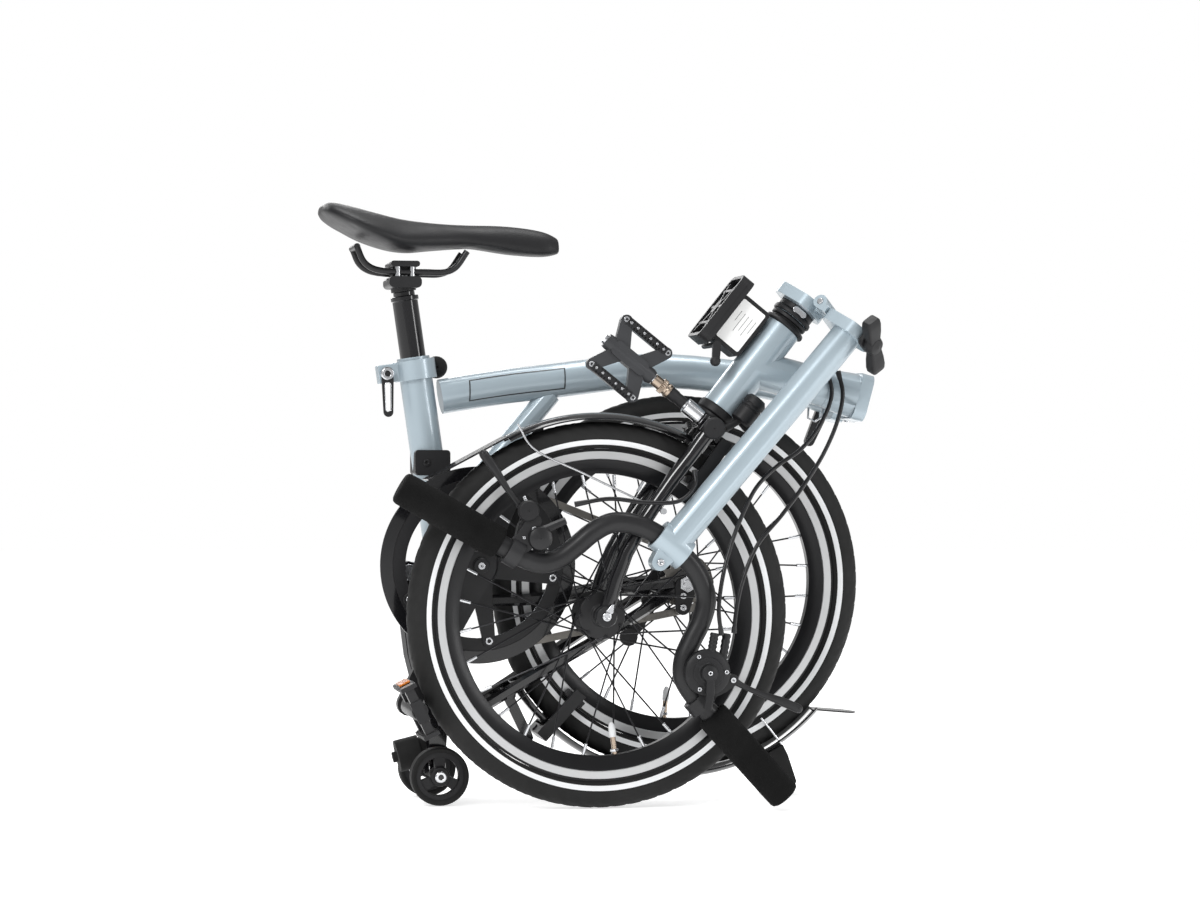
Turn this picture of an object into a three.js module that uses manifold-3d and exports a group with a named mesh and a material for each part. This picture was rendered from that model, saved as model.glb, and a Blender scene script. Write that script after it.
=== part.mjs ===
// A folding bicycle with 35-349 wheels, shown folded. Millimetres, +Z up.
// +X runs towards the main hinge, -Y is the chain side, and the ground is at the lowest wheel.
import * as THREE from "three";
import { mergeVertices } from "three/addons/utils/BufferGeometryUtils.js";
import Module from "manifold-3d";

const wasm = await Module();
wasm.setup();

// ---------------------------------------------------------------- driving dimensions
const GAP = 0.3; // clearance kept between touching pieces

const TYRE_RADIUS = 209.5;
const TYRE_HALF_WIDTH = 17.5;
const RIM_OUTER = 180;
const RIM_INNER = 153;
const RIM_HALF_WIDTH = 12;
const WHEEL_SIDES = 36;
const SPOKE_COUNT = 28;
const SPOKE_RADIUS = 1.1;
const SPOKE_CIRCLE = 23;
const AXLE_RADIUS = 5;
const GUARD_RADIUS = 219.5;
const GUARD_HALF_WIDTH = 23;
const GUARD_THICKNESS = 2;

const FRONT_Y = -105; // centre plane of the folded front half
const FORK_HALF = 38;
const REAR_HALF = 57;

const SEAT_TUBE_RADIUS = 18.25;
const SEATPOST_RADIUS = 14.25;
const MAIN_TUBE_RADIUS = 19.5;
const HEAD_TUBE_RADIUS = 21;
const STEERER_RADIUS = 13;
const HANDLEPOST_RADIUS = 17;
const BAR_RADIUS = 11;
const GRIP_RADIUS = 18;
const SHELL_RADIUS = 20;
const SPINDLE_RADIUS = 8.5;
const CRANK_LENGTH = 170;
const CRANK_ANGLE = 242; // degrees, of the chain-side crank, measured from +X towards +Z
const GUARD_RING_RADIUS = 108;
const CHAINRING_RADIUS = 91;
const SPROCKET_RADIUS = 25.6;
const ROLLER_RADIUS = 32;

// ---------------------------------------------------------------- helpers
const vec = (x, y, z) => new THREE.Vector3(x, y, z);
const flat = (x, z) => new THREE.Vector2(x, z);
const rad = THREE.MathUtils.degToRad;
const UP = vec(0, 1, 0);
// The two ends of a span on one side of the XZ plane, in rising order.
const span = (side, near, far) => (side < 0 ? [-far, -near] : [near, far]);

// A closed solid from a geometry: corners merged, empty faces left out and faces turned outwards.
function toSolid(item) {
  if (!item.isBufferGeometry) return item;
  const plain = item.clone();
  plain.deleteAttribute("normal");
  plain.deleteAttribute("uv");
  const merged = mergeVertices(plain, 1e-3);
  const points = merged.attributes.position;
  const corners = [];
  let volume = 0;
  const [a, b, c] = [vec(), vec(), vec()];
  for (let i = 0; i < merged.index.count; i += 3) {
    const [p, q, r] = [0, 1, 2].map((k) => merged.index.getX(i + k));
    if (p === q || q === r || r === p) continue;
    corners.push(p, q, r);
    a.fromBufferAttribute(points, p);
    b.fromBufferAttribute(points, q);
    c.fromBufferAttribute(points, r);
    volume += a.dot(b.cross(c));
  }
  if (volume < 0) corners.reverse();
  const mesh = new wasm.Mesh({
    numProp: 3,
    vertProperties: Float32Array.from(points.array),
    triVerts: Uint32Array.from(corners),
  });
  mesh.merge();
  return new wasm.Manifold(mesh);
}

function fuse(...items) {
  return items.map(toSolid).reduce((whole, item) => whole.add(item));
}

function cut(base, ...tools) {
  return tools.map(toSolid).reduce((whole, tool) => whole.subtract(tool), toSolid(base));
}

// A straight round bar from a to b.
function rod(a, b, radius, sides = 16, endRadius = radius) {
  const along = b.clone().sub(a);
  const geometry = new THREE.CylinderGeometry(endRadius, radius, along.length(), sides);
  geometry.applyQuaternion(new THREE.Quaternion().setFromUnitVectors(UP, along.clone().normalize()));
  const middle = a.clone().add(b).multiplyScalar(0.5);
  return geometry.translate(middle.x, middle.y, middle.z);
}

const rodY = (x, z, y0, y1, radius, sides) => rod(vec(x, y0, z), vec(x, y1, z), radius, sides);
const rodZ = (x, y, z0, z1, radius, sides, end) => rod(vec(x, y, z0), vec(x, y, z1), radius, sides, end);

// A round bar bent along a smooth curve through the points.
function bend(points, radius, sides = 8, steps = 16) {
  const section = new THREE.Shape();
  for (let i = 0; i < sides; i++) {
    const turn = (2 * Math.PI * (i + 0.5)) / sides;
    const [x, y] = [radius * Math.cos(turn), radius * Math.sin(turn)];
    if (i === 0) section.moveTo(x, y);
    else section.lineTo(x, y);
  }
  section.closePath();
  const extrudePath = new THREE.CatmullRomCurve3(points, false, "centripetal");
  return new THREE.ExtrudeGeometry(section, { steps, extrudePath, bevelEnabled: false });
}

function box(x0, x1, y0, y1, z0, z1) {
  const geometry = new THREE.BoxGeometry(x1 - x0, y1 - y0, z1 - z0);
  return geometry.translate((x0 + x1) / 2, (y0 + y1) / 2, (z0 + z1) / 2);
}

// A flat plate in the XZ plane, from y0 to y1, with its outline given as a Shape of (x, z).
function plate(shape, y0, y1, curveSegments = 6) {
  const geometry = new THREE.ExtrudeGeometry(shape, { depth: y1 - y0, bevelEnabled: false, curveSegments });
  return geometry.rotateX(Math.PI / 2).translate(0, y1, 0);
}

function outline(points) {
  return new THREE.Shape(points.map(([x, z]) => flat(x, z)));
}

// A round-ended link in the XZ plane.
function link(a, b, radiusA, radiusB, y0, y1, sides = 16) {
  const along = b.clone().sub(a).normalize();
  const side = flat(-along.y, along.x);
  const edge = (p, r, sign) => p.clone().addScaledVector(side, sign * r);
  const web = new THREE.Shape([
    edge(a, radiusA, -1), edge(b, radiusB, -1), edge(b, radiusB, 1), edge(a, radiusA, 1),
  ]);
  return fuse(
    plate(web, y0, y1),
    rodY(a.x, a.y, y0, y1, radiusA, sides),
    rodY(b.x, b.y, y0, y1, radiusB, sides),
  );
}

// A rounded rectangle about the origin.
function rounded(width, height, radius) {
  const [w, h] = [width / 2 - radius, height / 2 - radius];
  const shape = new THREE.Shape();
  shape.absarc(w, h, radius, 0, Math.PI / 2);
  shape.absarc(-w, h, radius, Math.PI / 2, Math.PI);
  shape.absarc(-w, -h, radius, Math.PI, 1.5 * Math.PI);
  shape.absarc(w, -h, radius, 1.5 * Math.PI, 2 * Math.PI);
  return shape;
}

// A turned ring or body about Y, from a profile of [radius, y] that closes on itself or on the axis.
// It lies on a flat of its polygon, so each radius is the distance from the axis to that flat.
function turned(profile, sides = 24) {
  const toCorner = 1 / Math.cos(Math.PI / sides);
  const points = profile.map(([r, y]) => flat(r * toCorner, y));
  points.push(points[0].clone());
  return new THREE.LatheGeometry(points, sides, Math.PI / sides);
}

const ringY = (outer, inner, y0, y1, sides) =>
  turned([[inner, y0], [outer, y0], [outer, y1], [inner, y1]], sides);
// A turned ring about Z, from a profile of [radius, z].
const turnedZ = (profile, sides = 16) => turned(profile, sides).rotateX(Math.PI / 2);

// A band that follows an arc about the Y axis, between two angles in degrees from +X towards +Z.
function arcBand(outer, thickness, halfWidth, from, to, steps) {
  const arc = (radius, a, b) =>
    Array.from({ length: steps + 1 }, (_, i) => {
      const turn = rad(a + ((b - a) * i) / steps);
      return [radius * Math.cos(turn), radius * Math.sin(turn)];
    });
  const shape = outline([...arc(outer, from, to), ...arc(outer - thickness, to, from)]);
  return plate(shape, -halfWidth, halfWidth);
}

// A closed skin over sections, each an array of points with the same count.
function loft(sections) {
  const count = sections[0].length;
  const positions = sections.flat().flatMap((p) => [p.x, p.y, p.z]);
  const index = [];
  for (let s = 0; s + 1 < sections.length; s++) {
    for (let i = 0; i < count; i++) {
      const [a, b] = [s * count + i, s * count + ((i + 1) % count)];
      index.push(a, b, b + count, a, b + count, a + count);
    }
  }
  const last = (sections.length - 1) * count;
  for (let i = 1; i + 1 < count; i++) {
    index.push(0, i + 1, i, last, last + i, last + i + 1);
  }
  const geometry = new THREE.BufferGeometry();
  geometry.setAttribute("position", new THREE.Float32BufferAttribute(positions, 3));
  geometry.setIndex(index);
  return geometry;
}

// A group in its parent: moved, then turned about its own Y axis and then its Z axis, in degrees.
function place(parent, position, turnY = 0, turnZ = 0) {
  const group = new THREE.Group();
  group.position.copy(position);
  group.rotation.set(0, rad(turnY), rad(turnZ), "YZX");
  parent.add(group);
  group.updateMatrixWorld(true);
  return group;
}

// Moves an item made in a group's own frame into the bicycle's frame.
function within(group, item) {
  group.updateWorldMatrix(true, false);
  if (item.isBufferGeometry) return item.clone().applyMatrix4(group.matrixWorld);
  return item.transform(group.matrixWorld.elements);
}

const finish = (color, roughness, metalness) =>
  new THREE.MeshStandardMaterial({ color, roughness, metalness });
const MATERIAL = {
  paint: finish(0xa5b9c3, 0.32, 0.55),
  gloss: finish(0x0c0c0d, 0.18, 0.1),
  satin: finish(0x18181a, 0.45, 0.1),
  plastic: finish(0x141415, 0.6, 0),
  rubber: finish(0x121212, 0.85, 0),
  foam: finish(0x161616, 0.95, 0),
  steel: finish(0xb9bcc0, 0.25, 1),
  alloy: finish(0x9fa3a8, 0.35, 0.9),
  cover: finish(0x111112, 0.7, 0),
  cable: finish(0x0e0e0e, 0.5, 0),
};

// Adds a piece as one named mesh.
function add(parent, name, solid, material) {
  const raw = toSolid(solid).getMesh();
  const geometry = new THREE.BufferGeometry();
  const positions = [];
  for (let i = 0; i < raw.vertProperties.length; i += raw.numProp) {
    positions.push(raw.vertProperties[i], raw.vertProperties[i + 1], raw.vertProperties[i + 2]);
  }
  geometry.setAttribute("position", new THREE.Float32BufferAttribute(positions, 3));
  geometry.setIndex(Array.from(raw.triVerts));
  geometry.computeVertexNormals();
  const mesh = new THREE.Mesh(geometry, material);
  mesh.name = name;
  parent.add(mesh);
  return mesh;
}

// ---------------------------------------------------------------- placement frames
const bicycle = new THREE.Group();
const SEAT_TILT = -8.16; // degrees, the seat tube leans back
const seatLine = place(bicycle, vec(-172.8, 0, 383.6), SEAT_TILT); // z up the seat tube
const shell = place(bicycle, vec(-123, 0, 262)); // bottom bracket
const pivot = place(bicycle, vec(-197, 0, 254)); // rear fold axis
const frontHub = place(bicycle, vec(0, FRONT_Y, TYRE_RADIUS));
const rearHub = place(bicycle, vec(109, 0, 240));
const hinge = place(bicycle, vec(300, FRONT_Y / 2, 444), 15.07); // z up the hinge pin, x out of its face
const steering = place(bicycle, vec(130, FRONT_Y, 426), 38.68); // z up the steering axis
// The stem hinge has its pin along y and its mating face at z = 0; x runs to the folded handlepost.
const STEM_PIN = vec(22.25, -32.25, 162.5);
const STEM_REACH = 38.54;
const stemHinge = place(steering, STEM_PIN, 0, -45);
const bars = place(steering, vec(39.5, -59.5, -169.5)); // below the folded handlepost

// ---------------------------------------------------------------- main frame
const HINGE_FACE_HALF = 26;
const KNUCKLE = 9;
const KNUCKLE_CLEAR = KNUCKLE + 1.5;
const CASTING_DEPTH = 14;
const CASTING_WIDTH = 64;

// Half of the main hinge: its plate lies on one side of the pin, and its knuckles meet the other half's.
function hingeHalf(side, knuckles) {
  const middle = side * (KNUCKLE_CLEAR + CASTING_WIDTH / 2);
  const face = new THREE.ExtrudeGeometry(rounded(CASTING_WIDTH, 2 * HINGE_FACE_HALF, 12), {
    depth: CASTING_DEPTH,
    bevelEnabled: false,
    curveSegments: 3,
  });
  const upright = new THREE.Matrix4().makeBasis(vec(0, 1, 0), vec(0, 0, 1), vec(1, 0, 0));
  face.applyMatrix4(upright.setPosition(-CASTING_DEPTH - GAP, middle, 0));
  const pieces = knuckles.map(([z0, z1]) =>
    fuse(
      rodZ(0, 0, z0, z1, KNUCKLE, 14),
      box(-KNUCKLE, -GAP, ...span(side, 0, KNUCKLE_CLEAR + 4), z0, z1),
    ),
  );
  return cut(fuse(face, ...pieces), rodZ(0, 0, -40, 40, 4 + GAP, 12));
}

const MAIN_TUBE = [
  [-158, 447], [-90, 458], [-23, 466], [68, 477], [114, 476], [183, 469], [253, 458], [289, 447],
].map(([x, z]) => vec(x, 0, z));

// The curved tube, the seat tube and the strut between them, with the lug of the rear fold at the back.
function mainFrame() {
  const tube = bend(MAIN_TUBE, MAIN_TUBE_RADIUS, 16, 11);
  const seatTube = within(seatLine, rodZ(0, 0, -140, 108, SEAT_TUBE_RADIUS, 20));
  const strut = rod(vec(-34, 0, 451), vec(-160, 0, 300), 12.5, 12);
  const bracketShell = within(shell, rodY(0, 0, -34, 34, SHELL_RADIUS, 20));
  const lug = fuse(
    within(pivot, rodY(0, 0, -13, 13, 12, 16)),
    box(-197, -165, -12.5, 12.5, 244, 264),
  );
  const casting = within(hinge, hingeHalf(1, [[-9, 9]]));
  return cut(
    fuse(tube, seatTube, strut, bracketShell, lug, casting),
    within(seatLine, rodZ(0, 0, -200, 140, SEATPOST_RADIUS + GAP, 20)),
    within(shell, rodY(0, 0, -40, 40, 14.4, 14)),
    within(pivot, rodY(0, 0, -20, 20, AXLE_RADIUS + GAP, 12)),
  );
}

add(bicycle, "main_frame", mainFrame(), MATERIAL.paint);

// The seatpost clamp is a split collar with two ears behind it.
const CLAMP_Z = 94;
const clampBolt = vec(-33, 0, CLAMP_Z);
add(
  seatLine,
  "seat_clamp",
  cut(
    fuse(
      rodZ(0, 0, CLAMP_Z - 11, CLAMP_Z + 11, 23.5, 20),
      box(clampBolt.x - 9, -15, -12, 12, CLAMP_Z - 10, CLAMP_Z + 10),
    ),
    rodZ(0, 0, 0, 140, SEAT_TUBE_RADIUS + GAP, 20),
    box(-60, -10, -1.5, 1.5, 0, 140),
    rodY(clampBolt.x, CLAMP_Z, -30, 30, 4 + GAP, 12),
  ),
  MATERIAL.paint,
);

// The quick-release lever hangs beside the lug: a bolt with a cam head and a bent strap.
const quickRelease = place(seatLine, clampBolt);
add(
  quickRelease,
  "seat_clamp_lever",
  fuse(
    rodY(0, 0, -19, 15, 4, 10),
    rodY(0, 0, 12.4, 17, 7, 12),
    rodY(0, 0, -20, -12.4, 7.5, 12),
    link(flat(0, 0), flat(-5, -42), 6, 5, -20, -16, 10),
  ),
  MATERIAL.steel,
);

// The bottom bracket cups screw into the shell from each side.
for (const side of [-1, 1]) {
  const flange = ringY(19, SPINDLE_RADIUS + GAP, ...span(side, 34.3, 38), 14);
  const sleeve = ringY(13.2, SPINDLE_RADIUS + GAP, ...span(side, 16, 35), 14);
  add(shell, side < 0 ? "bb_cup_right" : "bb_cup_left", fuse(flange, sleeve), MATERIAL.satin);
}

add(
  pivot,
  "rear_pivot_pin",
  fuse(rodY(0, 0, -32, 32, AXLE_RADIUS, 12), rodY(0, 0, -35, -31.3, 9, 12)),
  MATERIAL.steel,
);
add(
  hinge,
  "main_hinge_pin",
  fuse(rodZ(0, 0, -26, 26, 4, 12), rodZ(0, 0, 24.4, 27.5, 6.5, 12)),
  MATERIAL.steel,
);

// The hinge clamp stands on the outer edge of the main casting and swings over the joint.
const clampPost = place(hinge, vec(-CASTING_DEPTH / 2, KNUCKLE_CLEAR + CASTING_WIDTH, 0));
add(
  clampPost,
  "main_clamp_lever",
  fuse(
    rod(vec(0, 0.4, 0), vec(0, 15, 0), 7, 12),
    link(flat(0, 0), flat(-8, -52), 8, 5.5, 6, 13, 12),
  ),
  MATERIAL.satin,
);

// ---------------------------------------------------------------- seatpost and saddle
add(
  seatLine,
  "seatpost",
  fuse(
    rodZ(0, 0, -186, 172, SEATPOST_RADIUS, 20),
    rodZ(0, 0, 171, 176, 15.5, 20),
    rodZ(0, 0, 175, 181, 12, 16),
  ),
  MATERIAL.gloss,
);

// The saddle clamp grips both rails between its wide lower block and its upper plate.
const RAIL_Y = 22;
const RAIL = [[-253, 611], [-245, 594], [-232, 586], [-176, 583.5], [-155, 584], [-144, 589], [-131, 607]];
const SADDLE_X = -200;
add(
  bicycle,
  "saddle_clamp",
  fuse(
    box(SADDLE_X - 18, SADDLE_X + 18, -17, 17, 566, 593),
    box(SADDLE_X - 18, SADDLE_X + 18, -29, 29, 566, 578.5),
    box(SADDLE_X - 16, SADDLE_X + 16, -29, 29, 590, 596),
  ),
  MATERIAL.satin,
);

function saddleRails() {
  const [left, right] = [-1, 1].map((side) =>
    bend(RAIL.map(([x, z]) => vec(x, side * RAIL_Y, z)), 3.5, 6, 14),
  );
  const [x, z] = RAIL[0];
  const back = rodY(x, z, -RAIL_Y - 3, RAIL_Y + 3, 3.5, 8);
  return fuse(left, right, back);
}
add(bicycle, "saddle_rails", saddleRails(), MATERIAL.satin);

// The saddle as stations: distance along, half width, top height and bottom height.
const SADDLE = [
  [-293, 30, 657, 649], [-284, 54, 661, 641], [-262, 70, 656, 629], [-240, 70, 650, 618],
  [-205, 57, 642, 607], [-165, 37, 638, 610], [-125, 24, 636.5, 612], [-75, 20, 636, 605],
  [-40, 18, 631, 603], [-22, 10, 622, 607],
];
// A station's outline: an ellipse whose edges droop.
const EDGE_DROP = 0.22;
function saddleSection([x, half, top, bottom]) {
  const sides = 12;
  return Array.from({ length: sides }, (_, i) => {
    const turn = (2 * Math.PI * i) / sides;
    const [c, s] = [Math.cos(turn), Math.sin(turn)];
    const drop = EDGE_DROP * c ** 2 * (top - bottom);
    return vec(x, half * c, (top + bottom) / 2 + (s * (top - bottom)) / 2 - drop);
  });
}
add(bicycle, "saddle_cover", loft(SADDLE.map(saddleSection)), MATERIAL.cover);

// ---------------------------------------------------------------- crankset and pedal
const CRANK_IN = 58;
const CRANK_OUT = 72;
const crankEnd = flat(
  CRANK_LENGTH * Math.cos(rad(CRANK_ANGLE)),
  CRANK_LENGTH * Math.sin(rad(CRANK_ANGLE)),
);
const spindleBore = () => rodY(0, 0, -90, 90, SPINDLE_RADIUS + GAP, 12);

add(shell, "crank_spindle", rodY(0, 0, -67, 67, SPINDLE_RADIUS, 12), MATERIAL.steel);
add(
  shell,
  "crank_right",
  fuse(
    cut(link(flat(0, 0), crankEnd, 17, 12, -CRANK_OUT, -CRANK_IN), spindleBore()),
    rodY(crankEnd.x, crankEnd.y, -110, -CRANK_OUT + 2, 6, 10),
  ),
  MATERIAL.satin,
);
add(
  shell,
  "crank_left",
  cut(link(flat(0, 0), crankEnd.clone().negate(), 17, 12, CRANK_IN, CRANK_OUT), spindleBore()),
  MATERIAL.satin,
);

// The chainring has a toothed ring, a wider guard outside it and five arms.
const CHAIN_OUT = -47.5;
const CHAIN_IN = -43.5;
const GUARD_IN = CHAIN_OUT - 0.8;
const GUARD_OUT = GUARD_IN - 2.6;
function chainring() {
  const guard = ringY(GUARD_RING_RADIUS, 80, GUARD_OUT, GUARD_IN, 40);
  const teeth = ringY(CHAINRING_RADIUS, 80, GUARD_IN - 0.5, CHAIN_IN - 0.8, 40);
  const boss = rodY(0, 0, -57.4, -43, 19, 12);
  const arms = Array.from({ length: 5 }, (_, i) => {
    const turn = rad(CRANK_ANGLE + 36 + i * 72);
    const tip = flat(82 * Math.cos(turn), 82 * Math.sin(turn));
    return link(flat(0, 0), tip, 11, 7, GUARD_OUT, GUARD_IN + 1.5, 6);
  });
  return cut(fuse(guard, teeth, boss, ...arms), spindleBore());
}
add(shell, "chainring", chainring(), MATERIAL.satin);

const PEDAL_TILT = 64;
const PEDAL_OUT = -168;
const PEDAL_IN = -96;
const SLEEVE_IN = -84;
const rightPedal = place(shell, vec(crankEnd.x, 0, crankEnd.y), PEDAL_TILT);
add(
  rightPedal,
  "pedal_right",
  cut(
    fuse(box(-31, 31, PEDAL_OUT, PEDAL_IN, -9, 9), rodY(0, 0, PEDAL_OUT + 3, SLEEVE_IN, 10, 12)),
    box(-24, -11, PEDAL_OUT + 7, PEDAL_IN - 7, -20, 20),
    box(11, 24, PEDAL_OUT + 7, PEDAL_IN - 7, -20, 20),
    rodY(0, 0, SLEEVE_IN - 30, 0, 6 + 2 * GAP, 12),
  ),
  MATERIAL.satin,
);

// ---------------------------------------------------------------- front frame and head
// A short tube joins the head tube to its half of the main hinge, and flares where they meet.
function frontFrame() {
  const head = within(steering, rodZ(0, 0, 8, 122, HEAD_TUBE_RADIUS, 20));
  const start = steering.localToWorld(vec(0, 0, 66));
  const end = hinge.localToWorld(vec(-CASTING_DEPTH, FRONT_Y / 2, 0));
  const tube = rod(start, end, 21, 16);
  const collar = rod(start.clone().lerp(end, 0.72), end, 21.5, 16, 25);
  const casting = within(hinge, hingeHalf(-1, [[-24, -9.5], [9.5, 24]]));
  return cut(fuse(head, tube, collar, casting), within(steering, rodZ(0, 0, -20, 150, 17, 20)));
}
add(bicycle, "front_frame", frontFrame(), MATERIAL.paint);

const HEADSET_BORE = STEERER_RADIUS + GAP;
add(
  steering,
  "headset_upper",
  turnedZ([
    [HEADSET_BORE, 122.3], [22, 122.3], [22, 128], [18, 129],
    [18, 131], [20, 132], [20, 135.5], [HEADSET_BORE, 135.5],
  ]),
  MATERIAL.plastic,
);
add(
  steering,
  "headset_lower",
  turnedZ([[HEADSET_BORE, -8], [19, -8], [19, -2], [22, -1], [22, 7.7], [HEADSET_BORE, 7.7]]),
  MATERIAL.plastic,
);

// The luggage block stands ahead of the head tube, so it looks up and back when folded.
const BLOCK_FACE = -74;
function carrierBlock() {
  const slots = [-24, -12, 12, 24].map((y) =>
    box(BLOCK_FACE - 1, BLOCK_FACE + 6, y - 3.5, y + 3.5, 66, 122),
  );
  const body = fuse(
    box(-60, -HEAD_TUBE_RADIUS - 1, -17, 17, 62, 122),
    box(BLOCK_FACE, -59, -30, 30, 52, 136),
  );
  return cut(body, ...slots, rodY(-52, 56, -60, 60, 3 + GAP, 10));
}
add(steering, "carrier_block", carrierBlock(), MATERIAL.plastic);

// The latch turns on a pin below the block and ends in a ball.
const latchPivot = place(steering, vec(-52, 0, 56));
add(
  latchPivot,
  "carrier_latch",
  fuse(
    rodY(0, 0, -31, 29, 3, 8),
    link(flat(0, 0), flat(9, -13), 4.5, 4, -36, -30.4, 8),
    new THREE.IcosahedronGeometry(6, 1).translate(10, -33, -15),
  ),
  MATERIAL.plastic,
);

// ---------------------------------------------------------------- fork
const hubInFork = vec(33.8, 0, -250.3);
const CROWN_TOP = -10;
const CROWN_BOTTOM = -28.5;

// The steerer, a crown as wide as the blades, and two blades that curve to the axle.
function fork() {
  const steerer = rodZ(0, 0, CROWN_TOP - 8, 147.7, STEERER_RADIUS, 20);
  const crown = fuse(
    box(-14, 14, -FORK_HALF, FORK_HALF, CROWN_BOTTOM, CROWN_TOP),
    rodZ(0, -FORK_HALF, CROWN_BOTTOM, CROWN_TOP, 11, 12),
    rodZ(0, FORK_HALF, CROWN_BOTTOM, CROWN_TOP, 11, 12),
  );
  const blades = [-1, 1].map((side) => {
    const y = side * FORK_HALF;
    const path = [vec(0, y, CROWN_BOTTOM + 4), vec(1, y, -110), vec(10, y, -185), vec(31, y, -243)];
    return fuse(bend(path, 8.5, 10, 7), rodY(hubInFork.x, hubInFork.z, y - 3, y + 3, 12, 14));
  });
  const bore = rodY(hubInFork.x, hubInFork.z, -60, 60, AXLE_RADIUS + GAP, 12);
  const nutSeats = [-1, 1].map((side) =>
    rodY(hubInFork.x, hubInFork.z, ...span(side, FORK_HALF + 3, 60), 10.2, 12),
  );
  return cut(fuse(steerer, crown, ...blades), bore, ...nutSeats);
}
add(steering, "fork", fork(), MATERIAL.gloss);

const frontDropout = place(steering, hubInFork);
add(
  frontDropout,
  "front_axle",
  fuse(
    rodY(0, 0, -50, 47, AXLE_RADIUS, 12),
    rodY(0, 0, -49, -FORK_HALF - 3 - GAP, 9.5, 12),
    rodY(0, 0, FORK_HALF + 3 + GAP, 46.5, 9.5, 12),
  ),
  MATERIAL.steel,
);

// Half of the handlepost hinge: a rounded plate below the mating face, with knuckles on the pin.
const STEM_PLATE = 13.7;
const STEM_PLATE_LENGTH = 52;
function stemHalf(side, knuckles) {
  const face = new THREE.ExtrudeGeometry(rounded(STEM_PLATE_LENGTH, 48, 14), {
    depth: STEM_PLATE - GAP,
    bevelEnabled: false,
    curveSegments: 4,
  });
  face.translate(side * (9.5 + STEM_PLATE_LENGTH / 2), 0, -STEM_PLATE);
  const arms = knuckles.map(([y0, y1]) =>
    fuse(rodY(0, 0, y0, y1, 8, 12), box(...span(side, 0, 13), y0, y1, -8, -GAP)),
  );
  return cut(fuse(face, ...arms), rodY(0, 0, -40, 40, 3.5 + GAP, 10));
}

add(
  stemHinge,
  "handlepost_base",
  cut(
    fuse(stemHalf(-1, [[-9, 9]]), rodZ(-STEM_REACH, 7.07, -26.5, -STEM_PLATE + 1, 20, 20)),
    rodZ(-STEM_REACH, 7.07, -40, -STEM_PLATE - 0.5, STEERER_RADIUS + GAP, 20),
  ),
  MATERIAL.paint,
);
add(stemHinge, "stem_hinge_pin", rodY(0, 0, -25, 25, 3.5, 10), MATERIAL.steel);

// The front mudguard is a short arc over the tyre that ends in a straight flap.
const FLAP_ANGLE = 118;
function frontMudguard() {
  const guard = arcBand(GUARD_RADIUS, GUARD_THICKNESS, GUARD_HALF_WIDTH, 62, FLAP_ANGLE, 10);
  const end = rad(FLAP_ANGLE);
  const start = flat(Math.cos(end), Math.sin(end)).multiplyScalar(GUARD_RADIUS - 1);
  const along = flat(-Math.sin(end), Math.cos(end));
  const tip = start.clone().addScaledVector(along, 98);
  const flap = link(start, tip, 1, 1, -GUARD_HALF_WIDTH, GUARD_HALF_WIDTH, 6);
  return fuse(guard, flap);
}
add(frontHub, "front_mudguard", frontMudguard(), MATERIAL.satin);

// Brake arms straddle the tyre, with a bridge outside the mudguard and pads on the rim.
function caliper(bridgeLow) {
  const arms = [-1, 1].map((side) =>
    fuse(
      box(-7, 7, ...span(side, 25, 31), 166, bridgeLow + 6),
      box(-12, 12, ...span(side, RIM_HALF_WIDTH + 1.2, 25), 171, 179),
    ),
  );
  const bridge = box(-7, 7, -31, 31, bridgeLow, bridgeLow + 11);
  const bolt = rod(vec(-9, 0, bridgeLow + 6), vec(9, 0, bridgeLow + 6), 4, 8);
  return fuse(bridge, bolt, ...arms);
}
const frontBrake = place(steering, hubInFork, -2.6); // nearly in line with the blades
add(frontBrake, "front_caliper", caliper(222), MATERIAL.satin);

// The lamp stands on the crown, on a bent bracket.
const LAMP = vec(22, -27, 0);
add(
  steering,
  "front_lamp",
  fuse(
    rodZ(LAMP.x, LAMP.y, 10, 36, 10.5, 16),
    rodZ(LAMP.x, LAMP.y, 34, 40, 8.5, 16),
    rod(vec(LAMP.x, LAMP.y, 14), vec(13, -29, -9), 4, 8),
  ),
  MATERIAL.plastic,
);

// ---------------------------------------------------------------- stowed pedal
// The left pedal is pulled off its crank and pushed into a socket on the crown.
const STOW = vec(0, -20, -15);
add(
  steering,
  "pedal_socket",
  cut(
    rod(vec(-36, STOW.y, STOW.z), vec(-14.4, STOW.y, STOW.z), 9, 14),
    rod(vec(-40, STOW.y, STOW.z), vec(-20, STOW.y, STOW.z), 5 + GAP, 12),
  ),
  MATERIAL.steel,
);
add(
  steering,
  "stowed_pedal_axle",
  fuse(
    rod(vec(-145, STOW.y, STOW.z), vec(-22, STOW.y, STOW.z), 5, 12),
    rod(vec(-76, STOW.y, STOW.z), vec(-58, STOW.y, STOW.z), 8, 8),
  ),
  MATERIAL.steel,
);
const stowed = place(steering, vec(-116, STOW.y, STOW.z));
function stowedCage() {
  const sleeve = rod(vec(-32, 0, 0), vec(34, 0, 0), 9, 12);
  const rails = [-1, 1].map((side) => box(-34, 34, -8, 8, side * 31 - 4, side * 31 + 4));
  const arms = [-1, 1].flatMap((side) =>
    [-1, 1].map((end) =>
      link(flat(end * 10, side * 6), flat(end * 24, side * 29), 5, 5, -5, 5, 8),
    ),
  );
  return cut(fuse(sleeve, ...rails, ...arms), rod(vec(-30, 0, 0), vec(40, 0, 0), 5 + GAP, 12));
}
add(stowed, "stowed_pedal_cage", stowedCage(), MATERIAL.satin);

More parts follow.
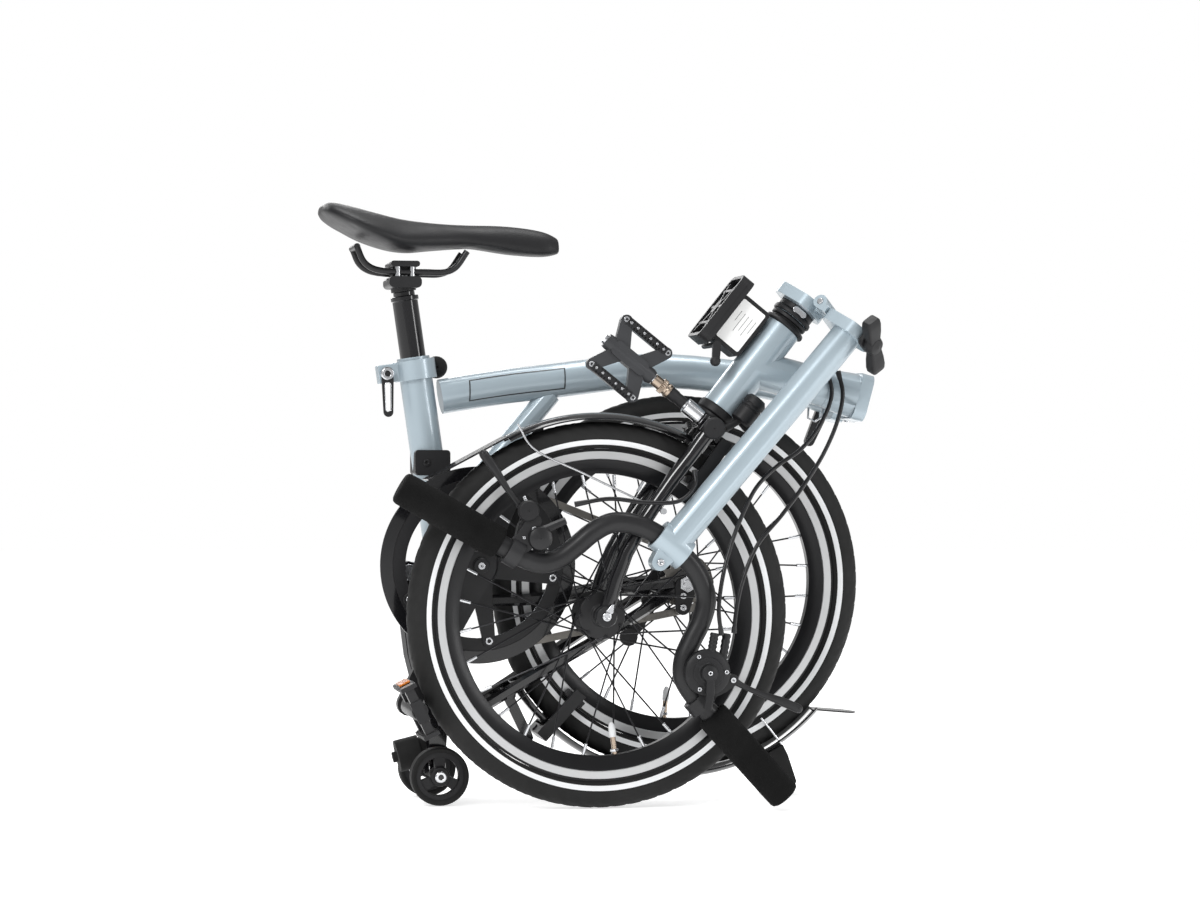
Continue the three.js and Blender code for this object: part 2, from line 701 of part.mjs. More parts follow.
// ---------------------------------------------------------------- wheels
const TYRE_PROFILE = [
  [RIM_OUTER + GAP, -11], [187, -16], [195, -TYRE_HALF_WIDTH], [205, -12],
  [TYRE_RADIUS, -4], [TYRE_RADIUS, 4], [205, 12], [195, TYRE_HALF_WIDTH], [187, 16], [RIM_OUTER + GAP, 11],
];
const RIM_PROFILE = [
  [RIM_OUTER, -RIM_HALF_WIDTH], [RIM_OUTER, RIM_HALF_WIDTH], [168, RIM_HALF_WIDTH],
  [RIM_INNER, 6], [RIM_INNER, -6], [168, -RIM_HALF_WIDTH],
];

// A hub shell with two flanges, and spokes that leave each flange in crossing pairs.
function spokedHub(halfHub, flangeY, extra) {
  const shellProfile = [
    [AXLE_RADIUS + GAP, -halfHub], [8, -halfHub],
    [11, -flangeY - 4], [25, -flangeY - 1.5], [25, -flangeY + 1.5], [11, -flangeY + 5],
    [11, flangeY - 5], [25, flangeY - 1.5], [25, flangeY + 1.5], [11, flangeY + 4],
    [8, halfHub], [AXLE_RADIUS + GAP, halfHub],
  ];
  const reach = RIM_INNER - 0.5;
  const spokes = Array.from({ length: SPOKE_COUNT }, (_, i) => {
    const side = i % 2 ? 1 : -1;
    const lean = i % 4 < 2 ? 1 : -1;
    const rimTurn = (2 * Math.PI * (i + 0.5)) / SPOKE_COUNT;
    const hubTurn = rimTurn + lean * rad(70);
    return rod(
      vec(SPOKE_CIRCLE * Math.cos(hubTurn), side * (flangeY + lean * 2), SPOKE_CIRCLE * Math.sin(hubTurn)),
      vec(reach * Math.cos(rimTurn), side * 2, reach * Math.sin(rimTurn)),
      SPOKE_RADIUS,
      4,
    );
  });
  return fuse(turned(shellProfile, 14), ...spokes, ...extra);
}

const sprocket = fuse(
  ringY(SPROCKET_RADIUS, 8.5, CHAIN_OUT + 0.6, CHAIN_IN - 0.6, 20),
  ringY(14, AXLE_RADIUS + GAP, CHAIN_OUT + 0.6, -24, 16),
);
const WHEELS = [
  ["front", frontHub, 29, 20, []],
  ["rear", rearHub, 47, 24, [sprocket]],
];
for (const [name, hub, halfHub, flangeY, extra] of WHEELS) {
  add(hub, `${name}_tyre`, turned(TYRE_PROFILE, WHEEL_SIDES), MATERIAL.rubber);
  add(hub, `${name}_rim`, turned(RIM_PROFILE, WHEEL_SIDES), MATERIAL.alloy);
  add(hub, `${name}_hub`, spokedHub(halfHub, flangeY, extra), MATERIAL.steel);
}

// ---------------------------------------------------------------- handlepost and bars
const BAR_DROP = 22; // height of the bar's middle above the bars' frame origin
const POST_TOP = vec(10, 0, 319); // the handlepost leans a little towards its hinge
const BAR_HALF = [
  [19, 21], [46, 14], [66, 0], [76, -21], [81, -44],
  [87, -65], [98, -80], [117, -88], [146, -92.5], [262, -110.8],
];
// The bar dips in a deep M, and its ends run out to the grips.
const barPath = [
  ...BAR_HALF.map(([x, z]) => vec(-x, 0, z)).reverse(),
  ...BAR_HALF.map(([x, z]) => vec(x, 0, z)),
];

add(
  bars,
  "handlepost",
  cut(
    fuse(
      rod(vec(0, 0, BAR_DROP), POST_TOP, HANDLEPOST_RADIUS, 20),
      rod(vec(-19, 0, BAR_DROP), vec(19, 0, BAR_DROP), 17.5, 18),
      within(
        place(new THREE.Group(), STEM_PIN.clone().sub(bars.position), 0, -45),
        stemHalf(1, [[-24, -9.5], [9.5, 24]]),
      ),
    ),
    rod(vec(-30, 0, BAR_DROP - 1.5), vec(30, 0, BAR_DROP - 1.5), BAR_RADIUS + 2, 14),
  ),
  MATERIAL.paint,
);

// The screw and its winged handle hold the two halves of the handlepost hinge together.
const stemScrew = place(stemHinge, vec(62, 0, -7));
add(
  stemScrew,
  "stem_clamp_handle",
  fuse(
    rod(vec(0, 0, 0), vec(14, 0, 0), 5, 10),
    rod(vec(12, -32, 14), vec(12, 32, -14), 6.5, 10),
    rod(vec(5, 0, 0), vec(17, 0, 0), 10, 12),
  ),
  MATERIAL.plastic,
);

add(bars, "handlebar", bend(barPath, BAR_RADIUS, 8, 44), MATERIAL.satin);

for (const side of [-1, 1]) {
  const inner = vec(side * 147, 0, -92.7);
  const outer = vec(side * 268, 0, -111.8);
  const tip = inner.clone().lerp(outer, 0.97);
  add(
    bars,
    side < 0 ? "grip_left" : "grip_right",
    cut(
      fuse(rod(inner, tip, GRIP_RADIUS, 16), rod(tip, outer, GRIP_RADIUS, 16, GRIP_RADIUS - 4)),
      rod(inner.clone().lerp(outer, -0.1), inner.clone().lerp(outer, 0.955), BAR_RADIUS + 0.8, 12),
    ),
    MATERIAL.foam,
  );
}

// Each brake bracket rings the bar inside its grip and carries the lever towards the hub side.
function bracketRing(side) {
  const [near, far] = [vec(side * 122, 0, -88.7), vec(side * 137, 0, -91)];
  const bore = rod(near.clone().lerp(far, -1), far.clone().lerp(near, -1), BAR_RADIUS + 1.6, 10);
  return { ring: rod(near, far, 16.5, 12), bore };
}
const LEVER_PIVOT = vec(142, 0, -50);
function brakeBracket(side, extra) {
  const { ring, bore } = bracketRing(side);
  const neck = flat(side * (LEVER_PIVOT.x - 4), LEVER_PIVOT.z - 12);
  const arm = link(flat(side * 129, -78), neck, 8, 7, -6, 6, 10);
  const fork = [-1, 1].map((y) =>
    link(neck, flat(side * LEVER_PIVOT.x, LEVER_PIVOT.z), 6, 6, ...span(y, 4.4, 8), 10),
  );
  const pin = rodY(side * LEVER_PIVOT.x, LEVER_PIVOT.z, -40, 40, 2.5 + GAP, 8);
  return cut(fuse(ring, arm, ...fork, ...extra), bore, pin);
}

// The tapered end of a cable housing.
const barrel = (from, to) => rod(from, to, 5, 8, 4);
add(
  bars,
  "brake_bracket_left",
  brakeBracket(-1, [
    rodY(-118, -62, -14, -2, 12, 12),
    link(flat(-127, -80), flat(-118, -62), 6, 6, -6, 4, 6),
    barrel(vec(-122, -8, -56), vec(-108, -8, -30)),
  ]),
  MATERIAL.plastic,
);
add(
  bars,
  "shifter_body",
  brakeBracket(1, [
    rodY(112, -62, -27, -13, 25, 18),
    link(flat(112, -62), flat(129, -84), 10, 8, -17, -11.9, 6),
    barrel(vec(104, -19, -46), vec(92, -19, -24)),
    barrel(vec(120, -17, -46), vec(104, -14, -16)),
  ]),
  MATERIAL.plastic,
);
for (const side of [-1, 1]) {
  const hold = place(bars, vec(side * LEVER_PIVOT.x, 0, LEVER_PIVOT.z));
  add(
    hold,
    side < 0 ? "brake_lever_left" : "brake_lever_right",
    fuse(
      rodY(0, 0, -7.5, 7.5, 2.5, 8),
      rodY(0, 0, -4, 4, 5, 10),
      link(flat(0, 0), flat(side * 78, 14), 4.5, 4.5, -4, 4, 8),
    ),
    MATERIAL.satin,
  );
}
// The shift trigger turns on the face of the shifter.
const triggerPivot = place(bars, vec(112, -27.4, -62));
add(
  triggerPivot,
  "shift_trigger",
  fuse(
    rodY(0, 0, -5, 0, 9, 14),
    link(flat(0, 0), flat(20, -30), 5, 4, -5, -1, 8),
  ),
  MATERIAL.plastic,
);

// ---------------------------------------------------------------- rear frame
const bracketFoot = vec(-165, 26, 74);
const rollerAxle = vec(-166, 0, ROLLER_RADIUS);
// One side of the rear frame, from the fold axis down the leg to the rollers, and back to the hub.
function rearSide(side) {
  const at = (x, out, z) => vec(x, side * out, z);
  const hub = rearHub.position;
  const leg = bend(
    [at(-197, 22, 252), at(-190, 22.5, 170), at(bracketFoot.x, 26, bracketFoot.z)],
    7.5, 6, 4,
  );
  const stayEnd = vec(hub.x - 10, 0, hub.z - 6);
  const stayLine = vec(bracketFoot.x, 0, bracketFoot.z);
  const bulge = [[0, 26], [0.36, 33], [0.55, 46], [0.7, 55.5], [0.86, 56], [1, 55]];
  const stay = bend(
    bulge.map(([share, out]) => stayLine.clone().lerp(stayEnd, share).setY(side * out)),
    6.5, 6, 9,
  );
  const chainstay = bend(
    [
      at(-197, 22, 250), at(-165, 23, 229), at(-110, 25, 222), at(-20, 32, 226),
      at(60, 51, 236), at(hub.x - 13, REAR_HALF - 2, hub.z),
    ],
    6.5, 6, 9,
  );
  const eye = within(pivot, rodY(0, 0, ...span(side, 13.4, 31), 12, 12));
  const dropoutSpan = span(side, REAR_HALF - 2.5, REAR_HALF + 2.5);
  const dropout = within(rearHub, rodY(0, 0, ...dropoutSpan, 15, 12));
  const arm = link(
    flat(bracketFoot.x, bracketFoot.z), flat(rollerAxle.x, rollerAxle.z),
    10, 8, ...span(side, 28, 34), 10,
  );
  const boss = rodY(rollerAxle.x, rollerAxle.z, ...span(side, 20, 36.5), 7, 8);
  const stub = rodY(rollerAxle.x, rollerAxle.z, ...span(side, 30, 64), 4, 8);
  return fuse(leg, stay, chainstay, eye, dropout, arm, boss, stub);
}
const brakeBridge = vec(-84, 0, 118);
function rearFrame() {
  const cross = rodY(bracketFoot.x, bracketFoot.z, -30, 30, 8, 10);
  const bridge = rodY(brakeBridge.x, brakeBridge.z, -36, 36, 5.5, 10);
  const tab = link(flat(-84, 118), flat(-60, 68), 6, 6, -6, 6, 8);
  const bores = fuse(
    within(pivot, rodY(0, 0, -40, 40, AXLE_RADIUS + GAP, 12)),
    within(rearHub, rodY(0, 0, -80, 80, AXLE_RADIUS + GAP, 12)),
  );
  return cut(fuse(rearSide(-1), rearSide(1), cross, bridge, tab), bores);
}
add(bicycle, "rear_frame", rearFrame(), MATERIAL.gloss);

// The rubber block sits between the rear frame and the seat tube when the bicycle is open.
add(
  bicycle,
  "suspension_block",
  fuse(
    rod(vec(-174, 0, 57), vec(-181, 0, 55.5), 15, 18),
    rod(vec(-180.5, 0, 55.6), vec(-206, 0, 49.4), 18, 20),
    rod(vec(-205.5, 0, 49.5), vec(-211, 0, 48.2), 6, 12),
  ),
  MATERIAL.rubber,
);

add(
  rearHub,
  "rear_axle",
  fuse(
    rodY(0, 0, -66, 66, AXLE_RADIUS, 12),
    rodY(0, 0, -65, -REAR_HALF - 2.5 - GAP, 9.5, 6),
    rodY(0, 0, REAR_HALF + 2.5 + GAP, 65, 9.5, 6),
  ),
  MATERIAL.steel,
);

// The rear mudguard runs under the folded wheel, and its foot reaches the ground beside the rollers.
function rearMudguard() {
  const guard = arcBand(GUARD_RADIUS, GUARD_THICKNESS, GUARD_HALF_WIDTH, -150, -42, 18);
  const flapRoot = flat(Math.cos(rad(-42)), Math.sin(rad(-42))).multiplyScalar(GUARD_RADIUS - 1);
  const flap = link(flapRoot, flapRoot.clone().add(flat(44, -2)), 1.3, 1.3, -20, 20, 6);
  const ground = -rearHub.position.z;
  const foot = plate(
    outline([
      [86, -200], [122, -181], [138, ground + 14], [132, ground], [112, ground], [100, ground + 14],
    ]),
    -9,
    9,
  );
  const inside = (GUARD_RADIUS - GUARD_THICKNESS) / Math.cos(Math.PI / 60);
  const tyreSpace = rodY(0, 0, -40, 40, inside, 60);
  return fuse(guard, flap, cut(foot, tyreSpace));
}
add(rearHub, "rear_mudguard", rearMudguard(), MATERIAL.satin);

const REAR_BRAKE_TURN = 223; // degrees about the hub, from straight above it
const rearBrake = place(rearHub, vec(0, 0, 0), REAR_BRAKE_TURN);
add(rearBrake, "rear_caliper", caliper(221), MATERIAL.satin);

// The tensioner arm hangs inboard of the chain, with one jockey wheel inside the loop and one below it.
add(
  bicycle,
  "chain_tensioner",
  fuse(
    link(flat(74, 221), flat(46, 181), 8, 8, -42.6, -39, 8),
    rodY(66, 222, -47.3, -42, 6, 10),
    rodY(46, 181, -47.3, -42, 10, 12),
  ),
  MATERIAL.plastic,
);

// Two small rollers carry the folded bicycle.
for (const side of [-1, 1]) {
  const axle = place(bicycle, vec(rollerAxle.x, side * 50, rollerAxle.z));
  const openings = [0, 120, 240].map((turn) =>
    rodY(18 * Math.cos(rad(turn + 30)), 18 * Math.sin(rad(turn + 30)), -30, 30, 7, 8),
  );
  add(
    axle,
    side < 0 ? "roller_near" : "roller_far",
    cut(ringY(ROLLER_RADIUS, 4 + GAP, -10, 10, 20), ...openings),
    MATERIAL.plastic,
  );
}

// ---------------------------------------------------------------- chain and cables
// The outline of a belt around two circles.
function loopAround(centreA, radiusA, centreB, radiusB, sides) {
  const across = centreB.clone().sub(centreA);
  const heading = Math.atan2(across.y, across.x);
  const open = Math.acos((radiusA - radiusB) / across.length());
  const arc = (centre, radius, from, to, steps) =>
    Array.from({ length: steps + 1 }, (_, i) => {
      const turn = from + ((to - from) * i) / steps;
      return [centre.x + radius * Math.cos(turn), centre.y + radius * Math.sin(turn)];
    });
  return [
    ...arc(centreA, radiusA, heading + open, heading + 2 * Math.PI - open, sides),
    ...arc(centreB, radiusB, heading - open, heading + open, Math.ceil(sides / 2)),
  ];
}
const CHAIN_CLEAR = 0.9; // from the teeth to the chain's inner face
const CHAIN_DEPTH = 5.5;
// The chain is one flat loop over the chainring and the sprocket.
function chain() {
  const [big, small] = [shell, rearHub].map((hub) => flat(hub.position.x, hub.position.z));
  const loop = (lift) =>
    outline(loopAround(big, CHAINRING_RADIUS + lift, small, SPROCKET_RADIUS + lift, 28));
  return cut(
    plate(loop(CHAIN_CLEAR + CHAIN_DEPTH), CHAIN_OUT, CHAIN_IN),
    plate(loop(CHAIN_CLEAR), CHAIN_OUT - 1, CHAIN_IN + 1),
  );
}
add(bicycle, "chain", chain(), MATERIAL.steel);

// Each cable leaves its lever, hangs in an arc below the stem and runs into the frame.
const CABLES = {
  gear_cable: [
    [119, -184, 190], [116, -184, 216], [121, -181, 252], [133, -174, 290], [148, -166, 322],
    [164, -158, 348], [188, -150, 370], [218, -144, 390], [243, -136, 420], [255, -131, 450],
    [250, -129, 476],
  ],
  rear_brake_cable: [
    [134, -178, 192], [136, -178, 212], [144, -174, 246], [162, -170, 286], [190, -166, 318],
    [216, -160, 350], [240, -152, 384], [258, -144, 420], [266, -136, 450], [262, -131, 474],
  ],
  front_brake_cable: [
    [-37, -165, 330], [0, -170, 336], [40, -178, 332], [76, -174, 334], [94, -166, 350],
    [95, -160, 366],
  ],
};
const CABLE_RADIUS = 2.3;
for (const [name, route] of Object.entries(CABLES)) {
  add(bicycle, name, bend(route.map(([x, y, z]) => vec(x, y, z)), CABLE_RADIUS, 6, 15), MATERIAL.cable);
}

// ---------------------------------------------------------------- origin
// The origin is moved to the middle of the base.
bicycle.updateMatrixWorld(true);
const extent = new THREE.Box3().setFromObject(bicycle, true);
const centre = extent.getCenter(vec());
bicycle.position.set(-centre.x, -centre.y, -extent.min.z);
bicycle.updateMatrixWorld(true);

export default bicycle;
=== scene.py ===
import math

import bmesh
import bpy
from mathutils import Matrix, Vector


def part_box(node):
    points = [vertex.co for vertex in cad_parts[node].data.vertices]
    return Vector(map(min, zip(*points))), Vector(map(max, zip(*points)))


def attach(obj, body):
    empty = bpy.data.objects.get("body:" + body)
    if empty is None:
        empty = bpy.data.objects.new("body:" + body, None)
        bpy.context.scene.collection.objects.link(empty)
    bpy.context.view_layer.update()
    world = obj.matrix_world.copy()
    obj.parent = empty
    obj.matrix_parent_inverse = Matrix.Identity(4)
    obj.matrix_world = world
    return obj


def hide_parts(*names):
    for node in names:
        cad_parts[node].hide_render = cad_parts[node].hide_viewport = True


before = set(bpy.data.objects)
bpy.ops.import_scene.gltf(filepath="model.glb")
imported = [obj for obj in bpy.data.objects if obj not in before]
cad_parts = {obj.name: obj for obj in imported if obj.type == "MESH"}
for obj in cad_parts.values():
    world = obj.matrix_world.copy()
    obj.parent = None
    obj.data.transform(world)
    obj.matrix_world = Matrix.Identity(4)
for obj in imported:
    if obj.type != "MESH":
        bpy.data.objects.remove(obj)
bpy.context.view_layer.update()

# -------------------- frames
# Shapes are written in millimetres in the frames that the CAD source uses, and these matrices
# carry them into the row frame in metres. The front hub fixes the first of them.
FRONT_Y = -105
HUB_HEIGHT = 209.5
tyre_low, tyre_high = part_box("front_tyre")
SHIFT = (tyre_low + tyre_high) / 2 - Vector((0, FRONT_Y, HUB_HEIGHT)) / 1000
BIKE = Matrix.Translation(SHIFT) @ Matrix.Scale(0.001, 4)


def frame_at(origin, turn_y=0, turn_z=0, parent=BIKE):
    return (
        parent
        @ Matrix.Translation(Vector(origin))
        @ Matrix.Rotation(math.radians(turn_y), 4, "Y")
        @ Matrix.Rotation(math.radians(turn_z), 4, "Z")
    )


SEAT_LINE = frame_at((-172.8, 0, 383.6), -8.16)
CRANK_AT, REAR_AXLE_AT = (-123, 262), (109, 240)  # (x, z) of the two ends of the chain
SHELL = frame_at((CRANK_AT[0], 0, CRANK_AT[1]))
FRONT_HUB = frame_at((0, FRONT_Y, HUB_HEIGHT))
REAR_HUB = frame_at((REAR_AXLE_AT[0], 0, REAR_AXLE_AT[1]))
STEERING = frame_at((130, FRONT_Y, 426), 38.68)
STEM_HINGE = frame_at((22.25, -32.25, 162.5), 0, -45, STEERING)
BARS = frame_at((39.5, -59.5, -169.5), parent=STEERING)
STEM_CLAMP = frame_at((62, 0, -7), parent=STEM_HINGE)
LAMP = frame_at((22, -27, 0), parent=STEERING)
FORK_TOP = frame_at((0, 0, -19), parent=STEERING)
TRIGGER = frame_at((112, -27.4, -62), parent=BARS)


def new_object(name, data):
    made = bpy.data.objects.new(name, data)
    bpy.context.scene.collection.objects.link(made)
    return made


# -------------------- camera and light
CAMERA_AT = Vector((-657, -3496, 388))
CAMERA_TURN = -11
CAMERA_LENS = 95.5

camera = new_object("camera", bpy.data.cameras.new("camera"))
camera.data.sensor_width = 36
camera.data.lens = CAMERA_LENS
camera.location = BIKE @ CAMERA_AT
camera.rotation_euler = (math.radians(90), 0, math.radians(CAMERA_TURN))
bpy.context.scene.camera = camera

bpy.context.scene.view_settings.view_transform = "Standard"
world = bpy.data.worlds.new("studio")
world.use_nodes = True
sky = world.node_tree
sky.nodes["Background"].inputs["Strength"].default_value = 0.5
sky.nodes["Background"].inputs["Color"].default_value = (1, 1, 1, 1)
backdrop = sky.nodes.new("ShaderNodeBackground")
backdrop.inputs["Color"].default_value = (1, 1, 1, 1)
split = sky.nodes.new("ShaderNodeMixShader")
sky.links.new(sky.nodes.new("ShaderNodeLightPath").outputs["Is Camera Ray"], split.inputs["Fac"])
sky.links.new(sky.nodes["Background"].outputs["Background"], split.inputs[1])
sky.links.new(backdrop.outputs["Background"], split.inputs[2])
sky.links.new(split.outputs["Shader"], sky.nodes["World Output"].inputs["Surface"])
bpy.context.scene.world = world


def softbox(name, at, size, power, aim=(0, 0, 0.32)):
    lamp = new_object(name, bpy.data.lights.new(name, "AREA"))
    lamp.data.shape = "RECTANGLE"
    lamp.data.size, lamp.data.size_y = size
    lamp.data.energy = power
    lamp.location = at
    lamp.rotation_mode = "QUATERNION"
    lamp.rotation_quaternion = (Vector(aim) - Vector(at)).to_track_quat("-Z", "Y")


softbox("key", (-1.6, -1.9, 1.9), (0.9, 0.9), 44)
softbox("fill", (2.1, -1.7, 0.9), (0.5, 1.6), 20)
softbox("top", (0.1, 0.2, 2.4), (1.4, 1.0), 30)
softbox("back", (-0.6, 2.2, 1.4), (1.6, 0.8), 22)


# -------------------- materials
class Nodes:
    """A material's node tree, with short calls to add and join nodes."""

    def __init__(self, name):
        self.material = bpy.data.materials.new(name)
        self.material.use_nodes = True
        self.tree = self.material.node_tree
        self.shader = self.tree.nodes["Principled BSDF"]
        self.at = self.add("ShaderNodeTexCoord").outputs["Object"]

    def add(self, kind, settings=None, **inputs):
        node = self.tree.nodes.new(kind)
        for key, value in (settings or {}).items():
            setattr(node, key, value)
        for key, value in inputs.items():
            self.put(node.inputs[key.replace("_", " ")], value)
        return node

    def put(self, socket, value):
        if isinstance(value, bpy.types.NodeSocket):
            self.tree.links.new(value, socket)
        else:
            socket.default_value = value

    def noise(self, scale, detail=4.0):
        return self.add("ShaderNodeTexNoise", Vector=self.at, Scale=scale, Detail=detail).outputs["Fac"]

    def cells(self, scale):
        return self.add("ShaderNodeTexVoronoi", Vector=self.at, Scale=scale).outputs["Distance"]

    def between(self, value, low, high, start=0.3, end=0.7):
        node = self.add("ShaderNodeMapRange")
        for key, number in zip(("From Min", "From Max", "To Min", "To Max"), (start, end, low, high)):
            node.inputs[key].default_value = number
        self.put(node.inputs["Value"], value)
        return node.outputs["Result"]

    def mix(self, share, low, high):
        node = self.add("ShaderNodeMix", {"data_type": "RGBA"})
        self.put(node.inputs["Factor"], share)
        self.put(node.inputs["A"], low)
        self.put(node.inputs["B"], high)
        return node.outputs["Result"]

    def bump(self, height, strength, distance):
        node = self.add("ShaderNodeBump", Height=height, Strength=strength, Distance=distance)
        self.put(self.shader.inputs["Normal"], node.outputs["Normal"])


def shade(colour, factor):
    return (*(min(1.0, c * factor) for c in colour), 1.0)


def surface(name, colour, rough, metal=0.0, coat=0.0, spread=0.12, grain=None, wear=0.0, specular=0.5):
    """A finish with slow colour and gloss variation, a fine grain, and lighter worn edges.
    grain is (kind, cells per metre, bump strength, depth in metres)."""
    n = Nodes(name)
    slow = n.noise(14)
    tone = n.mix(n.between(slow, 0, 1), shade(colour, 1 - spread), shade(colour, 1 + spread))
    if wear:
        edge = n.add("ShaderNodeNewGeometry").outputs["Pointiness"]
        worn = n.between(edge, 0, wear, 0.54, 0.62)
        tone = n.mix(worn, tone, shade([c * 1.8 + 0.01 for c in colour], 1))
    n.put(n.shader.inputs["Base Color"], tone)
    n.put(n.shader.inputs["Roughness"], n.between(n.noise(90), rough * 0.93, min(1, rough * 1.07)))
    n.shader.inputs["Metallic"].default_value = metal
    n.shader.inputs["Specular IOR Level"].default_value = specular
    n.shader.inputs["Coat Weight"].default_value = coat
    n.shader.inputs["Coat Roughness"].default_value = 0.06
    if grain:
        kind, scale, strength, depth = grain
        height = n.noise(scale, 2.0) if kind == "noise" else n.cells(scale)
        n.bump(height, strength, depth)
    return n.material


def ringed(name, colour, rough, metal, pitch, strength):
    """Turned metal: fine machined circles about the wheel's axis."""
    n = Nodes(name)
    tone = n.mix(n.between(n.noise(9), 0, 1), shade(colour, 0.94), shade(colour, 1.05))
    n.put(n.shader.inputs["Base Color"], tone)
    n.put(n.shader.inputs["Roughness"], n.between(n.noise(30), rough * 0.9, rough * 1.1))
    n.shader.inputs["Metallic"].default_value = metal
    uv = n.add("ShaderNodeUVMap").outputs["UV"]
    wave = n.add("ShaderNodeTexWave", {"bands_direction": "Y"}, Vector=uv, Scale=pitch)
    n.bump(wave.outputs["Fac"], strength, 0.0001)
    return n.material


PAINT = surface("frame_paint", (0.335, 0.405, 0.45), 0.36, 0.3, 0.5, 0.02, ("noise", 2400, 0.03, 0.0001))
GLOSS = surface("gloss_black", (0.006, 0.006, 0.007), 0.14, 0, 0.5, 0.15, ("noise", 60, 0.02, 0.0002), specular=0.3)
SATIN = surface("satin_black", (0.012, 0.012, 0.013), 0.4, 0, 0.05, 0.2, ("noise", 1400, 0.1, 0.0001), 0.2, 0.3)
GREY = surface("anodised_grey", (0.04, 0.041, 0.044), 0.45, 0.3, 0, 0.15, ("noise", 1500, 0.1, 0.0001), 0.3, 0.3)
PLASTIC = surface("moulded_plastic", (0.01, 0.01, 0.011), 0.5, 0, 0, 0.2, ("cells", 1100, 0.2, 0.0001), 0.25, 0.3)
RUBBER = surface("tyre_rubber", (0.011, 0.011, 0.011), 0.7, 0, 0, 0.25, ("noise", 900, 0.3, 0.0002), 0, 0.25)
SOFT = surface("soft_rubber", (0.01, 0.01, 0.01), 0.75, 0, 0, 0.2, ("noise", 700, 0.2, 0.0002), 0, 0.25)
FOAM = surface("grip_foam", (0.006, 0.006, 0.006), 0.95, 0, 0, 0.3, ("cells", 850, 0.8, 0.0006), 0, 0.12)
COVER = surface("saddle_leather", (0.008, 0.008, 0.009), 0.48, 0, 0, 0.15, ("cells", 520, 0.3, 0.0003), 0, 0.3)
STEEL = surface("polished_steel", (0.6, 0.61, 0.63), 0.22, 1, 0, 0.1, ("noise", 500, 0.05, 0.0001))
SPOKE = surface("spoke_black", (0.02, 0.02, 0.022), 0.32, 0.7, 0, 0.15, ("noise", 500, 0.05, 0.0001), 0, 0.4)
CHAINMETAL = surface("chain_steel", (0.2, 0.19, 0.175), 0.36, 0.9, 0, 0.25, ("noise", 700, 0.15, 0.0001))
BRONZE = surface("bronze_sleeve", (0.42, 0.34, 0.27), 0.26, 1, 0, 0.12, ("noise", 600, 0.1, 0.0001))
BRASS = surface("brass", (0.55, 0.38, 0.16), 0.3, 1, 0, 0.12, ("noise", 600, 0.1, 0.0001))
TRACK = ringed("brake_track", (0.52, 0.525, 0.53), 0.34, 0.8, 60, 0.08)
RIMBLACK = surface("anodised_rim", (0.008, 0.008, 0.009), 0.3, 0.2, 0, 0.15, ("noise", 900, 0.08, 0.0001), 0, 0.3)
CABLE = surface("cable_housing", (0.006, 0.006, 0.007), 0.3, 0, 0.1, 0.2, ("noise", 400, 0.1, 0.0001), 0, 0.3)
WHITE = surface("reflective_white", (0.74, 0.75, 0.76), 0.4, 0, 0, 0.05, ("cells", 1500, 0.2, 0.0001))
LABEL = surface("label_film", (0.85, 0.85, 0.84), 0.35, 0, 0.2, 0.03, ("noise", 800, 0.05, 0.0001))
AMBER = surface("amber_lens", (0.7, 0.2, 0.02), 0.15, 0, 0.6, 0.1, ("cells", 700, 0.6, 0.0005))
DECAL = surface("decal_black", (0.01, 0.01, 0.01), 0.35, 0, 0.3, 0.1, ("noise", 500, 0.05, 0.0001))


# -------------------- shapes, in millimetres
def polar(radius, degrees):
    return radius * math.cos(math.radians(degrees)), radius * math.sin(math.radians(degrees))


def circle(radius, sides):
    turns = [2 * math.pi * i / sides for i in range(sides)]
    return [(radius * math.cos(t), radius * math.sin(t)) for t in turns]


def ring_faces(rings, count, closed):
    """Faces between neighbouring rings of points, and back to the first ring if closed."""
    faces = []
    for i in range(rings if closed else rings - 1):
        here, after = i * count, ((i + 1) % rings) * count
        for k in range(count):
            k2 = (k + 1) % count
            faces.append((here + k, here + k2, after + k2, after + k))
    return faces


def lathe(profile, sides):
    """A closed profile of (radius, y), turned about Y."""
    verts = []
    for i in range(sides):
        c, s = polar(1, 360 * i / sides)
        verts += [(r * c, y, r * s) for r, y in profile]
    return verts, ring_faces(sides, len(profile), True)


def smooth_path(points, steps):
    """A centripetal Catmull-Rom curve through the points, with steps in each span."""
    pts = [Vector(p) for p in points]
    pts = [pts[0] * 2 - pts[1], *pts, pts[-1] * 2 - pts[-2]]
    made = []
    for p0, p1, p2, p3 in zip(pts, pts[1:], pts[2:], pts[3:]):
        d0, d1, d2 = ((b - a).length ** 0.5 for a, b in ((p0, p1), (p1, p2), (p2, p3)))
        m1 = ((p1 - p0) / d0 - (p2 - p0) / (d0 + d1) + (p2 - p1) / d1) * d1
        m2 = ((p2 - p1) / d1 - (p3 - p1) / (d1 + d2) + (p3 - p2) / d2) * d1
        for i in range(steps):
            t = i / steps
            bend = 3 * (p2 - p1) - 2 * m1 - m2
            made.append(p1 + m1 * t + bend * t * t + (2 * (p1 - p2) + m1 + m2) * t**3)
    made.append(pts[-2])
    return made


